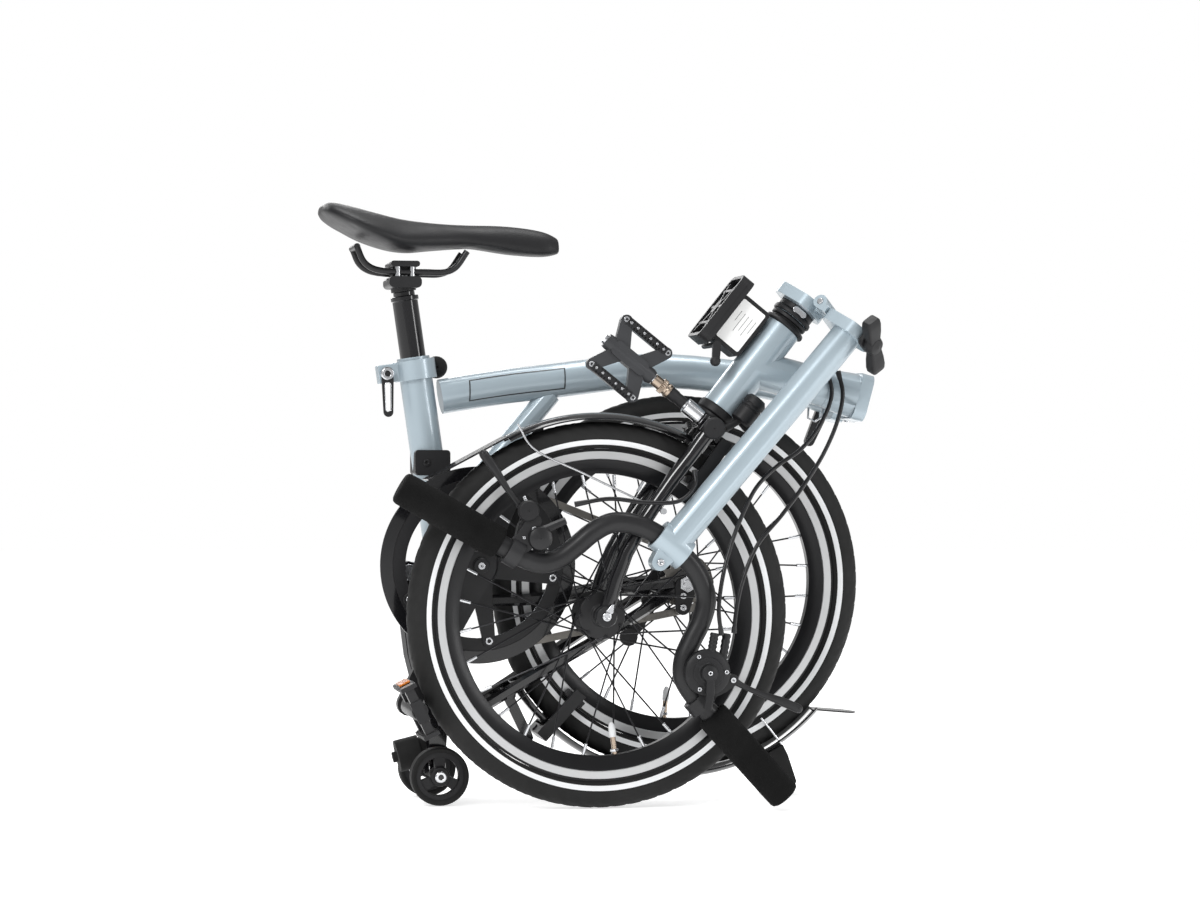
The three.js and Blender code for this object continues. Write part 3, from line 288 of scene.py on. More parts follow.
def sweep(points, section, sizes=None, closed=False):
    """A section of (side, up) carried along the points, with flat ends. sizes scale it point by point."""
    points = [Vector(p) for p in points]
    n = len(points)
    side = None
    verts, count = [], len(section)
    for i, p in enumerate(points):
        before = points[i - 1] if i or closed else p
        after = points[(i + 1) % n] if i + 1 < n or closed else p
        along = (after - before).normalized()
        if side is None:
            side = along.cross(Vector((0, 0, 1)))
            if side.length < 0.1:
                side = along.cross(Vector((0, 1, 0)))
        side = (side - along * side.dot(along)).normalized()
        up = side.cross(along)
        size = sizes[i] if sizes else 1.0
        verts += [p + (side * a + up * b) * size for a, b in section]
    faces = ring_faces(n, count, closed)
    if not closed:
        faces.append(tuple(reversed(range(count))))
        faces.append(tuple(range((n - 1) * count, n * count)))
    return verts, faces


def rod(a, b, radius, sides=20, end=None):
    return sweep([a, b], circle(radius, sides), None if end is None else [1.0, end / radius])


def rod_y(x, z, y0, y1, radius, sides=20):
    return rod((x, y0, z), (x, y1, z), radius, sides)


def slab(outline, y0, y1):
    """A flat plate in the XZ plane."""
    count = len(outline)
    verts = [(x, y, z) for y in (y0, y1) for x, z in outline]
    faces = [tuple(range(count)), tuple(reversed(range(count, 2 * count)))]
    faces += [(k, k + count, (k + 1) % count + count, (k + 1) % count) for k in range(count)]
    return verts, faces


def annulus(outer, inner, y0, y1):
    """A plate between two outlines with the same count of points."""
    count = len(outer)
    verts = [(x, y, z) for y in (y0, y1) for x, z in [*outer, *inner]]
    faces = []
    for k in range(count):
        k2 = (k + 1) % count
        o0, o1, i0, i1 = k, k2, k + count, k2 + count
        top = 2 * count
        faces += [
            (o0, i0, i1, o1), (o0 + top, o1 + top, i1 + top, i0 + top),
            (o0, o1, o1 + top, o0 + top), (i0, i0 + top, i1 + top, i1),
        ]
    return verts, faces


def block(x0, x1, y0, y1, z0, z1):
    return slab([(x0, z0), (x1, z0), (x1, z1), (x0, z1)], y0, y1)


def capsule(a, b, ra, rb, sides=16):
    """The outline of a round-ended link between two points of the XZ plane."""
    heading = math.atan2(b[1] - a[1], b[0] - a[0])
    half = sides // 2
    points = []
    for centre, radius, start in ((b, rb, heading - math.pi / 2), (a, ra, heading + math.pi / 2)):
        for i in range(half + 1):
            t = start + math.pi * i / half
            points.append((centre[0] + radius * math.cos(t), centre[1] + radius * math.sin(t)))
    return points


def gear(teeth, root, tip, bore, y0, y1):
    """A toothed ring: four points for each tooth."""
    outer, inner = [], []
    for i in range(teeth * 4):
        degrees = 360 * (i + 0.5) / (teeth * 4)
        outer.append(polar(tip if i % 4 in (1, 2) else root, degrees))
        inner.append(polar(bore, degrees))
    return annulus(outer, inner, y0, y1)


def ring_bolt(x, z, y0, y1, radius, toward=-1):
    """A domed bolt head with a round socket, facing -Y or +Y."""
    face, base = (y0, y1) if toward < 0 else (y1, y0)
    step = 1.2 * (1 if toward < 0 else -1)
    profile = [
        (radius * 0.45, face + step * 1.6), (radius * 0.45, face), (radius * 0.85, face),
        (radius, face + step), (radius, base), (radius * 0.2, base), (radius * 0.2, face + step * 1.6),
    ]
    verts, faces = lathe(profile, 18)
    return [(vx + x, vy, vz + z) for vx, vy, vz in verts], faces


def rounded_box(x, z, width, height, radius, steps=5):
    """The outline of a rectangle with round corners about (x, z)."""
    points = []
    for sign_x, sign_z, start in ((1, 1, 0), (-1, 1, 90), (-1, -1, 180), (1, -1, 270)):
        for i in range(steps + 1):
            t = math.radians(start + 90 * i / steps)
            points.append((
                x + sign_x * (width / 2 - radius) + radius * math.cos(t),
                z + sign_z * (height / 2 - radius) + radius * math.sin(t),
            ))
    return points


def ball(radius, sides=24):
    """A sphere about the origin, as a turned profile."""
    turns = [math.pi * (0.02 + 0.96 * i / 14) for i in range(15)]
    return lathe([(radius * math.sin(t), -radius * math.cos(t)) for t in turns], sides)


UPRIGHT = Matrix.Rotation(math.pi / 2, 4, "X")  # a turned shape's axis becomes Z
ALONG = Matrix.Rotation(-math.pi / 2, 4, "Z")  # a turned shape's axis becomes X
FACING = Matrix.Rotation(math.pi / 2, 4, "Z")  # a plate's outline moves into the YZ plane


# -------------------- making pieces
SHARP = math.radians(38)  # edges that turn more than this are not smoothed


class Piece:
    """One Blender object, gathered from shapes with a material for each."""

    def __init__(self, name, body, matrix=BIKE):
        self.name, self.body, self.matrix = name, body, matrix
        self.verts, self.faces, self.finishes, self.materials = [], [], [], []

    def add(self, shape, material, matrix=None):
        verts, faces = shape
        base = len(self.verts)
        matrix = self.matrix if matrix is None else matrix
        self.verts += [matrix @ Vector(v) for v in verts]
        self.faces += [tuple(base + i for i in f) for f in faces]
        if material not in self.materials:
            self.materials.append(material)
        self.finishes += [self.materials.index(material)] * len(faces)
        return self

    def bolt(self, *measures):
        return self.add(ring_bolt(*measures), STEEL)

    def make(self, *replaced, bevel=0.0004, levels=0, slot=None):
        mesh = bpy.data.meshes.new(self.name)
        mesh.from_pydata(self.verts, [], self.faces)
        for material in self.materials:
            mesh.materials.append(material)
        mesh.polygons.foreach_set("material_index", self.finishes)
        shell = bmesh.new()
        shell.from_mesh(mesh)
        bmesh.ops.remove_doubles(shell, verts=shell.verts, dist=1e-6)
        bmesh.ops.recalc_face_normals(shell, faces=shell.faces)
        shell.to_mesh(mesh)
        shell.free()
        mesh.shade_smooth()
        mesh.set_sharp_from_angle(angle=SHARP)
        made = new_object(self.name, mesh)
        if bevel:
            soften(made, bevel)
        if levels:
            made.modifiers.new("subdivision", "SUBSURF").levels = levels
            made.modifiers["subdivision"].render_levels = levels
        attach(made, self.body)
        if replaced:
            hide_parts(*replaced)
        return made


def soften(piece, width):
    bevel = piece.modifiers.new("bevel", "BEVEL")
    bevel.width = width
    bevel.segments = 2
    bevel.limit_method = "ANGLE"
    bevel.angle_limit = math.radians(40)


def smooth_nodes():
    """A modifier that welds a CAD node's faces and smooths all but its sharp edges."""
    tree = bpy.data.node_groups.new("smooth_by_angle", "GeometryNodeTree")
    tree.interface.new_socket("Geometry", in_out="INPUT", socket_type="NodeSocketGeometry")
    tree.interface.new_socket("Geometry", in_out="OUTPUT", socket_type="NodeSocketGeometry")
    start = tree.nodes.new("NodeGroupInput")
    end = tree.nodes.new("NodeGroupOutput")
    weld = tree.nodes.new("GeometryNodeMergeByDistance")
    weld.inputs["Distance"].default_value = 1e-5
    angle = tree.nodes.new("GeometryNodeInputMeshEdgeAngle")
    flat = tree.nodes.new("FunctionNodeCompare")
    flat.operation = "LESS_EQUAL"
    flat.inputs["B"].default_value = SHARP
    faces = tree.nodes.new("GeometryNodeSetShadeSmooth")
    edges = tree.nodes.new("GeometryNodeSetShadeSmooth")
    edges.domain = "EDGE"
    join = tree.links.new
    line = [start, weld, faces, edges, end]
    for before, after in zip(line, line[1:]):
        join(before.outputs["Geometry"], after.inputs["Geometry"])
    join(angle.outputs["Unsigned Angle"], flat.inputs["A"])
    join(flat.outputs["Result"], edges.inputs["Shade Smooth"])
    return tree


SMOOTH = smooth_nodes()

# -------------------- CAD nodes that stay
KEPT = {
    PAINT: ["main_frame", "seat_clamp", "front_frame", "handlepost_base", "handlepost"],
    GLOSS: ["seatpost", "fork", "rear_frame"],
    SATIN: ["crank_right", "crank_left", "main_clamp_lever", "bb_cup_right", "bb_cup_left", "front_caliper",
            "rear_caliper", "brake_bracket_left"],
    PLASTIC: ["carrier_latch", "chain_tensioner"],
    SOFT: ["suspension_block"],
    STEEL: ["crank_spindle", "rear_pivot_pin", "main_hinge_pin", "stem_hinge_pin", "front_axle", "rear_axle",
            "pedal_socket"],
}
for finish, names in KEPT.items():
    for name in names:
        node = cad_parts[name]
        node.data.materials.clear()
        node.data.materials.append(finish)
        smoothing = node.modifiers.new("smooth", "NODES")
        smoothing.node_group = SMOOTH
        soften(node, 0.0006)

# -------------------- wheels
TYRE_MIDDLE, TYRE_TALL, TYRE_WIDE = 193, 16.4, 17.4  # the casing's centre line, and its half height and half width
RIM_INNER = 153
SPOKES = 28


def tyre_shape():
    """The tyre's round casing, with slanting sipes cut into both shoulders of the tread."""
    sides, half = 288, 13
    arc = [math.radians(-50 + 280 * i / (2 * half)) for i in range(2 * half + 1)]
    verts = []
    for i in range(sides):
        turn = 2 * math.pi * i / sides
        for k, t in enumerate(arc):
            radius, y = TYRE_MIDDLE + TYRE_TALL * math.sin(t), -TYRE_WIDE * math.cos(t)
            if 1 <= abs(k - half) <= 8 and (i + abs(k - half)) % 4 == 0:
                radius -= 1.3
            if k == half:
                radius -= 0.5 * (i % 2)
            verts.append((radius * math.cos(turn), y, radius * math.sin(turn)))
    return verts, ring_faces(sides, len(arc), True)


def stripe_shape(side):
    """The reflective line on the casing's side, a thin ring that stands just proud of it."""
    profile = []
    for degrees, lift in ((-31, 0.35), (-21, 0.4), (-11, 0.35), (-11, -0.2), (-21, -0.2), (-31, -0.2)):
        t = math.radians(degrees)
        radius = TYRE_MIDDLE + (TYRE_TALL + lift) * math.sin(t)
        profile.append((radius, side * (TYRE_WIDE + lift) * math.cos(t)))
    return lathe(profile, 144)


def spoke_ends(i, flange):
    side = 1 if i % 2 else -1
    lean = 1 if i % 4 < 2 else -1
    degrees = 360 * (i + 0.5) / SPOKES
    hub_x, hub_z = polar(23, degrees + 70 * lean)
    rim_x, rim_z = polar(RIM_INNER - 0.5, degrees)
    return Vector((hub_x, side * (flange + lean * 2), hub_z)), Vector((rim_x, side * 2, rim_z))


def wheel(prefix, body, hub, half_hub, flange, shell_finish):
    Piece(f"{prefix}_tyre_casing", body, hub).add(tyre_shape(), RUBBER).make(f"{prefix}_tyre", bevel=0)
    stripes = Piece(f"{prefix}_tyre_lines", body, hub)
    stripes.add(stripe_shape(-1), WHITE).add(stripe_shape(1), WHITE).make(bevel=0)

    rim = Piece(f"{prefix}_rim_band", body, hub)
    wall = [(180, -10.2), (168.4, -11.2), (166.5, -10.9), (158, -8.2), (RIM_INNER, -5.4), (RIM_INNER, 5.4),
            (158, 8.2), (166.5, 10.9), (168.4, 11.2), (180, 10.2)]
    rim.add(lathe(wall, 144), RIMBLACK)
    for side in (-1, 1):
        ring = [(177.2, 10.4), (177.2, 12), (169.4, 12), (168.8, 11.4), (168.8, 10.4)]
        rim.add(lathe([(r, side * y) for r, y in ring], 144), TRACK)
    paint_rings(rim.make(f"{prefix}_rim", bevel=0, slot="rim_alloy"), hub)

    spokes = Piece(f"{prefix}_spokes", body, hub)
    for i in range(SPOKES):
        start, end = spoke_ends(i, flange)
        along = (end - start).normalized()
        spokes.add(rod(start, end - along * 11, 0.95, 8), SPOKE)
        spokes.add(rod(end - along * 12.5, end, 1.8, 10), STEEL)
        spokes.add(rod(start - Vector((0, 1.6, 0)), start + Vector((0, 1.6, 0)), 1.7, 8), SPOKE)
    spokes.make(bevel=0, slot="polished_steel")

    shell = Piece(f"{prefix}_hub_shell", body, hub)
    profile = [(5.3, -half_hub), (8, -half_hub), (8, -half_hub + 4), (11, -flange - 5), (13, -flange - 2.6),
               (25, -flange - 1.5), (26, -flange), (25, -flange + 1.5), (14, -flange + 4), (10.5, -flange + 9)]
    full = profile + [(r, -y) for r, y in reversed(profile)]
    shell.add(lathe(full, 40), shell_finish)
    if prefix == "rear":
        shell.add(gear(16, 23.4, 27.6, 12, -46.8, -44.2), CHAINMETAL)
        shell.add(lathe([(8.2, -46.6), (14, -46.6), (14, -26), (8.2, -26)], 24), CHAINMETAL)
    shell.make(f"{prefix}_hub")

    valve = Piece(f"{prefix}_valve", body, hub)
    x, z = polar(1, VALVE_TURN[prefix])
    out = Vector((x, 0, z))
    valve.add(rod(out * 153.5, out * 128, 2.9, 12), BRONZE)
    valve.add(rod(out * 150, out * 147, 4.8, 6), STEEL)
    tip = [out * r for r in (134, 131, 124, 121, 118)]
    valve.add(sweep(tip, circle(3.9, 14), [0.9, 1, 1, 0.8, 0.4]), WHITE)
    valve.make(slot="polished_steel")


def paint_rings(piece, hub):
    """A UV map whose V is the distance from the wheel's axis, so machined circles follow the rim."""
    layer = piece.data.uv_layers.new(name="rings")
    back = hub.inverted()
    for loop in piece.data.loops:
        at = back @ piece.data.vertices[loop.vertex_index].co
        layer.data[loop.index].uv = (math.atan2(at.z, at.x) * 3, math.hypot(at.x, at.z) / 10)


VALVE_TURN = {"front": -83, "rear": -95}
wheel("front", "front_wheel", FRONT_HUB, 29, 20, SATIN)
wheel("rear", "rear_wheel", REAR_HUB, 47, 24, SATIN)

# -------------------- mudguards
GUARD = 219.5


def guard_shape(start, end, steps):
    """A rolled mudguard: a thin crowned strip with turned-in edges, along an arc about the hub."""
    crown = [(22.8 * k / 6, GUARD - 0.3 - 6.0 * abs(k / 6) ** 3) for k in range(-6, 7)]
    section = crown + [(y * 0.96, r - 1.5) for y, r in reversed(crown)]
    verts = []
    for i in range(steps + 1):
        c, s = polar(1, start + (end - start) * i / steps)
        verts += [(r * c, y, r * s) for y, r in section]
    count = len(section)
    faces = ring_faces(steps + 1, count, False)
    faces.append(tuple(range(count)))
    faces.append(tuple(reversed(range(steps * count, (steps + 1) * count))))
    return verts, faces


def tongue_shape():
    """The flat tongue at the rear mudguard's end, with a rounded tip."""
    root = Vector(polar(GUARD - 1, -42))
    start, end = Vector((root.x - 4, root.y + 1.2)), Vector((root.x + 46, root.y - 3.3))
    steps, top = 16, []
    for i in range(steps + 1):
        t = i / steps
        half = 20 * math.sqrt(max(0.0, 1 - (2 * abs(t - 0.42) / 1.16) ** 4))
        at = start.lerp(end, t)
        top.append((at.x, max(half, 3), at.y))
    verts = [(x, sy * h, z + dz) for dz in (-0.9, 0.9) for sy in (-1, 1) for x, h, z in top]
    n = len(top)
    faces = []
    for i in range(n - 1):
        low = (i, i + 1, n + i + 1, n + i)
        faces.append(low)
        faces.append(tuple(2 * n + k for k in reversed(low)))
        faces.append((i, i + 2 * n, i + 1 + 2 * n, i + 1))
        faces.append((n + i, n + i + 1, n + i + 1 + 2 * n, n + i + 2 * n))
    for i in (0, n - 1):
        faces.append((i, n + i, 3 * n + i, 2 * n + i))
    return verts, faces


front_guard = Piece("front_mudguard_blade", "fork", FRONT_HUB)
front_guard.add(guard_shape(62, 118, 40), GLOSS)
root, along = Vector(polar(GUARD - 1.6, 118)), Vector(polar(1, 118 + 90))
flap = [root + along * (98 * i / 12) for i in range(13)]
front_guard.add(sweep([(x, 0, z) for x, z in flap], [(-22, -0.9), (22, -0.9), (22, 0.9), (-22, 0.9)]), GLOSS)
front_guard.make("front_mudguard")

rear_guard = Piece("rear_mudguard_blade", "rear_frame", REAR_HUB)
rear_guard.add(guard_shape(-150, -42, 70), GLOSS)
rear_guard.add(tongue_shape(), GLOSS)
ground = -240
foot = [(86, -203.5), (122, -184.5), (128, -196), (138, ground + 14), (132, ground + 0.2), (112, ground + 0.2),
        (100, ground + 14), (92, -214)]
rear_guard.add(slab(foot, -9, 9), SOFT)
rear_guard.make("rear_mudguard")

# -------------------- bars, grips and cables
BAR_HALF = [
    (19, 21), (46, 14), (66, 0), (76, -21), (81, -44), (87, -65), (98, -80), (117, -88),
    (146, -92.5), (262, -110.8),
]
bar_points = [(-x, 0, z) for x, z in reversed(BAR_HALF)] + [(x, 0, z) for x, z in BAR_HALF]
Piece("curved_bar", "handlepost", BARS).add(
    sweep(smooth_path(bar_points, 8), circle(11, 28)), SATIN
).make("handlebar", bevel=0)

for side, word in ((-1, "left"), (1, "right")):
    inner, outer = Vector((side * 147, 0, -92.7)), Vector((side * 268, 0, -111.8))
    steps = [0, 0.012, 0.035, 0.1, 0.9, 0.965, 0.988, 1.0]
    sizes = [0.84, 0.94, 0.985, 1.0, 1.0, 0.985, 0.93, 0.8]
    line = [inner.lerp(outer, t) for t in steps]
    Piece(f"foam_grip_{word}", "handlepost", BARS).add(
        sweep(line, circle(18, 32), sizes), FOAM
    ).make(f"grip_{word}", bevel=0)

ROUTES = {
    "gear_cable": [
        (119, -184, 190), (116, -184, 216), (121, -181, 252), (133, -174, 290), (148, -166, 322), (164, -158, 348),
        (188, -150, 370), (218, -144, 390), (243, -136, 420), (255, -131, 450), (250, -129, 476),
    ],
    "rear_brake_cable": [
        (134, -178, 192), (136, -178, 212), (144, -174, 246), (162, -170, 286), (190, -166, 318), (216, -160, 350),
        (240, -152, 384), (258, -144, 420), (266, -136, 450), (262, -131, 474),
    ],
    "front_brake_cable": [
        (-37, -165, 330), (0, -170, 336), (40, -178, 332), (76, -174, 334), (94, -166, 350), (95, -160, 366),
    ],
}
for name, route in ROUTES.items():
    line = smooth_path(route, 8)
    housing = Piece(f"{name}_housing", "front_frame")
    housing.add(sweep(line, circle(2.3, 16)), CABLE)
    for a, b in ((line[0], line[3]), (line[-1], line[-4])):
        housing.add(rod(a, b, 3.1, 16, 2.6), SATIN)
    housing.make(name, bevel=0)

# -------------------- saddle
# Stations: distance along, half width, top and bottom.
SADDLE = [
    (-291, 30, 657, 649), (-283, 53, 661, 641), (-262, 69, 656, 629), (-240, 69, 650, 618),
    (-205, 56, 642, 608), (-165, 36.5, 638, 610.5), (-125, 23.5, 636.5, 612.5), (-75, 19.5, 636, 605.5),
    (-40, 17.5, 631, 603.5), (-24, 10, 623, 607),
]


def saddle_shape():
    """The padded top: a crowned, closed form with a hollow along its middle and a tucked lower edge."""
    columns = [smooth_path([(row[0], row[k], 0) for row in SADDLE], 5) for k in (1, 2, 3)]
    stations = [(a.x, a.y, b.y, c.y) for a, b, c in zip(*columns)]
    sides = 36
    verts = []
    for x, half, high, low in stations:
        tall = high - low
        for i in range(sides):
            turn = 2 * math.pi * i / sides
            c, s = math.cos(turn), math.sin(turn)
            wide = math.copysign(abs(c) ** 0.82, c)
            z = (high + low) / 2 + s * tall / 2 - 0.22 * c * c * tall
            if s > 0:
                z -= 1.6 * math.exp(-((c * half / 9) ** 2)) * min(1, half / 40)
            verts.append((x, half * wide, z))
    count = len(stations)
    faces = [
        (i * sides + k, (i + 1) * sides + k, (i + 1) * sides + (k + 1) % sides, i * sides + (k + 1) % sides)
        for i in range(count - 1) for k in range(sides)
    ]
    faces.append(tuple(range(sides)))
    faces.append(tuple(reversed(range((count - 1) * sides, count * sides))))
    return verts, faces


def fill_cushion(piece, cap):
    """Swells the cushion with a short cloth simulation, and caps how far a point may move."""
    start = [v.co.copy() for v in piece.data.vertices]
    cloth = piece.modifiers.new("fill", "CLOTH")
    cloth.settings.use_pressure = True
    cloth.settings.uniform_pressure_force = 4
    cloth.settings.effector_weights.gravity = 0
    cloth.settings.tension_stiffness = 40
    scene = bpy.context.scene
    for number in range(1, 13):
        scene.frame_set(number)
    view = piece.evaluated_get(bpy.context.evaluated_depsgraph_get())
    moved = [v.co.copy() for v in view.data.vertices]
    piece.modifiers.remove(cloth)
    scene.frame_set(1)
    for vertex, was, now in zip(piece.data.vertices, start, moved):
        step = now - was
        if step.length > cap:
            step *= cap / step.length
        vertex.co = was + step


saddle = Piece("saddle_padding", "seatpost").add(saddle_shape(), COVER)
saddle = saddle.make("saddle_cover", bevel=0, levels=1)
fill_cushion(saddle, 0.0015)

RAIL = [(-253, 611), (-245, 594), (-232, 586), (-176, 583.5), (-155, 584), (-144, 589), (-131, 607)]
rails = Piece("saddle_rail_pair", "seatpost")
for side in (-1, 1):
    rails.add(sweep(smooth_path([(x, side * 22, z) for x, z in RAIL], 6), circle(3.5, 16)), SATIN)
rails.add(rod_y(*RAIL[0], -25, 25, 3.5, 16), SATIN)
rails.make("saddle_rails", bevel=0)

# -------------------- chain and chainring
CHAIN_MIDDLE = -45.5
RING, SPROCKET = 94.6, 29.2
PITCH = 12.7


def chain_loop():
    big, small = Vector(CRANK_AT), Vector(REAR_AXLE_AT)
    across = small - big
    heading = math.atan2(across.y, across.x)
    opening = math.acos((RING - SPROCKET) / across.length)
    points = []
    for centre, radius, start, end, steps in (
        (big, RING, heading + opening, heading + 2 * math.pi - opening, 160),
        (small, SPROCKET, heading - opening, heading + opening, 60),
    ):
        for i in range(steps + 1):
            turn = start + (end - start) * i / steps
            points.append(centre + Vector((radius * math.cos(turn), radius * math.sin(turn))))
    points.append(points[0].copy())
    length = sum((b - a).length for a, b in zip(points, points[1:]))
    links = 2 * round(length / PITCH / 2)
    marks, travelled, want = [], 0.0, 0.0
    for a, b in zip(points, points[1:]):
        step = (b - a).length
        while want <= travelled + step and len(marks) < links:
            marks.append(a.lerp(b, (want - travelled) / step))
            want += length / links
        travelled += step
    return marks


chain = Piece("chain_links", "main_frame")
marks = chain_loop()
for i, (a, b) in enumerate(zip(marks, marks[1:] + marks[:1])):
    out = 2.0 if i % 2 else 1.35
    for sign in (-1, 1):
        y = CHAIN_MIDDLE + sign * out
        chain.add(slab(capsule(a, b, 3.9, 3.9, 12), y - 0.35, y + 0.35), CHAINMETAL)
    chain.add(rod_y(*a, CHAIN_MIDDLE - 1.9, CHAIN_MIDDLE + 1.9, 2.6, 12), CHAINMETAL)
chain.make("chain", bevel=0, slot="polished_steel")

CRANK_ANGLE, CRANK_LENGTH = 242, 170
ring = Piece("chain_guard_ring", "crankset", SHELL)
ring.add(annulus(circle(108, 120), circle(94, 120), -50.9, -48.4), GLOSS)
ring.add(annulus(circle(95, 120), circle(80, 120), -50.2, -48.4), SATIN)
ring.add(gear(44, 87, 91, 80, -46.6, -44.6), STEEL)
for i in range(5):
    degrees = CRANK_ANGLE + 36 + i * 72
    tip = polar(84, degrees)
    ring.add(slab(capsule(polar(18, degrees), tip, 12, 7, 16), -52.4, -47), SATIN)
    ring.add(rod_y(*tip, -46.8, -44.4, 6, 16), SATIN)
    ring.bolt(*tip, -53.6, -50, 4.6)
ring.add(lathe([(8.9, -57.2), (19, -57.2), (22, -53), (22, -46), (19, -43), (8.9, -43)], 40), SATIN)
ring.make("chainring")

# -------------------- pedals
PEDAL_TILT = 64
pedal_x, pedal_z = polar(CRANK_LENGTH, CRANK_ANGLE)
RIGHT_PEDAL = frame_at((pedal_x, 0, pedal_z), PEDAL_TILT, parent=SHELL)


def toothed_bar(x0, x1, y, thick, z0, z1, teeth):
    """A plate on edge along X whose top and bottom carry square teeth."""
    pitch = (x1 - x0) / teeth
    upper, lower = [], []
    for i in range(teeth):
        a = x0 + i * pitch
        for x, cut in ((a, 0), (a + pitch * 0.5, 0), (a + pitch * 0.5, 1), (a + pitch, 1)):
            upper.append((x, z1 - 2.4 * cut))
            lower.append((x, z0 + 2.4 * cut))
    return slab(lower + upper[::-1], y - thick, y + thick)


pedal = Piece("pedal_right_cage", "pedal_right", RIGHT_PEDAL)
for x in (-28, 28):
    bar = toothed_bar(-168, -97, 0, 2.4, -9, 9, 9)
    pedal.add(bar, SATIN, RIGHT_PEDAL @ Matrix.Translation((x, 0, 0)) @ FACING)
for y in (-160, -106):
    pedal.add(block(-27, 27, y - 5, y + 5, -5, 5), SATIN)
pedal.add(lathe([(6.7, -84.2), (10, -84.2), (10, -158), (8.5, -164.6), (6.7, -164.6)], 28), SATIN)
pedal.add(block(-12, 12, -166.8, -164, -6.5, 6.5), PLASTIC)
for x in (-33.2, 30.9):
    pedal.add(block(x, x + 2.3, -148, -116, -6, 6), AMBER)
pedal.make("pedal_right")

STOWED = frame_at((-116, -20, -15), parent=STEERING)
cage = Piece("stowed_pedal_frame", "stowed_pedal", STOWED)
sleeve = [(5.5, -32), (8.2, -32), (8.8, -28), (8.8, 30), (7.5, 33.8), (5.5, 33.8)]
cage.add(lathe(sleeve, 28), GREY, STOWED @ ALONG)
cage.add(lathe([(0.5, -36), (5.2, -35.5), (5.2, -31), (0.5, -31)], 20), STEEL, STOWED @ ALONG)
cage.add(slab(rounded_box(0, 0, 46, 17, 6), -8.4, 8.4), GREY)
for side in (-1, 1):
    lay = STOWED @ Matrix.Translation((0, 0, side * 31))
    cage.add(slab(rounded_box(0, 0, 58, 10, 4), -4.6, 4.6), SATIN, lay)
    cage.add(toothed_bar(-27, 27, 0, 6.6, -4.4, 4.4, 14), SATIN, lay)
    for i in range(6):
        cage.add(rod_y(-22.5 + 9 * i, 0, -7.6, -4, 1.5, 10), STEEL, lay)
    for end in (-1, 1):
        arm = capsule((end * 13, side * 3), (end * 28, side * 30), 9, 6.5, 18)
        cage.add(slab(arm, -5.2, 5.2), GREY)
        cage.bolt(end * 29, side * 31, -6.6, -5, 3.4)
cage.make("stowed_pedal_cage")

STOW = frame_at((0, -20, -15), parent=STEERING)
axle = Piece("stowed_axle_sections", "stowed_pedal_axle", STOW @ ALONG)
axle.add(lathe([(0.5, -145), (4.8, -145), (5, -144), (5, -22), (0.5, -22)], 24), STEEL)
axle.add(lathe([(5, -81), (6.6, -81), (6.6, -71), (5, -71)], 24), BRONZE)
axle.add(gear(22, 7.6, 8.4, 4.9, -71, -66), BRONZE)
axle.add(lathe([(5, -66), (7, -66), (7, -63.5), (8, -62.5), (8, -59), (5, -59)], 24), BRONZE)
axle.add(lathe([(5, -58.5), (7.2, -58.5), (7.2, -50), (6.6, -49), (6.6, -38), (5, -38)], 24), PLASTIC)
axle.make("stowed_pedal_axle")

# -------------------- rollers
for side, name in ((-1, "near"), (1, "far")):
    seat = frame_at((-166, side * 50, 32))
    roller = Piece(f"roller_{name}_wheel", f"roller_{name}", seat)
    roller.add(lathe([(26, -8), (30, -9.6), (31.8, -8), (32, 0), (31.8, 8), (30, 9.6), (26, 8)], 60), SOFT)
    roller.add(lathe([(21, -7), (26.4, -7), (26.4, 7), (21, 7)], 60), PLASTIC)
    roller.add(lathe([(4.3, -9.6), (10, -9.6), (11, -7), (11, 7), (10, 9.6), (4.3, 9.6)], 32), PLASTIC)
    for i in range(3):
        degrees = 90 + 120 * i
        roller.add(slab(capsule(polar(8, degrees), polar(23, degrees), 5, 7, 14), -5, 5), PLASTIC)
    roller.make(f"roller_{name}")
    bolts = Piece(f"roller_{name}_bolt", "rear_frame", seat)
    bolts.bolt(0, 0, *sorted((side * 10.6, side * 15.5)), 6.5, side)
    bolts.make()

# -------------------- fittings of the main frame and saddle
collar = Piece("seat_tube_block", "main_frame")
collar.add(slab(rounded_box(-169, 374, 39, 28, 4), -22, 22), PLASTIC)
collar.add(ring_bolt(-176, 374, -24, -21.5, 4), SATIN)
collar.add(ball(12.5), SOFT, frame_at((-160, 16, 480)))
collar.make()

QUICK = frame_at((-33, 0, 94), parent=SEAT_LINE)
strap = Piece("seat_clamp_strap", "seat_clamp_lever", QUICK)
strap.add(rod_y(0, 0, -18, 15, 3.9), STEEL)
strap.bolt(0, 0, -21.4, -12.6, 7.4)
strap.bolt(0, 0, 12.6, 18, 7, 1)
outer, inner = capsule((0, 0), (-5, -42), 6.8, 5.4, 24), capsule((-1.6, -13), (-4.6, -38.5), 3.1, 2.7, 24)
strap.add(annulus(outer, inner, -19.6, -16), SATIN)
strap.add(annulus(capsule((-1.6, -13), (-4.6, -38.5), 3.9, 3.5, 24), inner, -20.1, -19.3), STEEL)
strap.make("seat_clamp_lever")

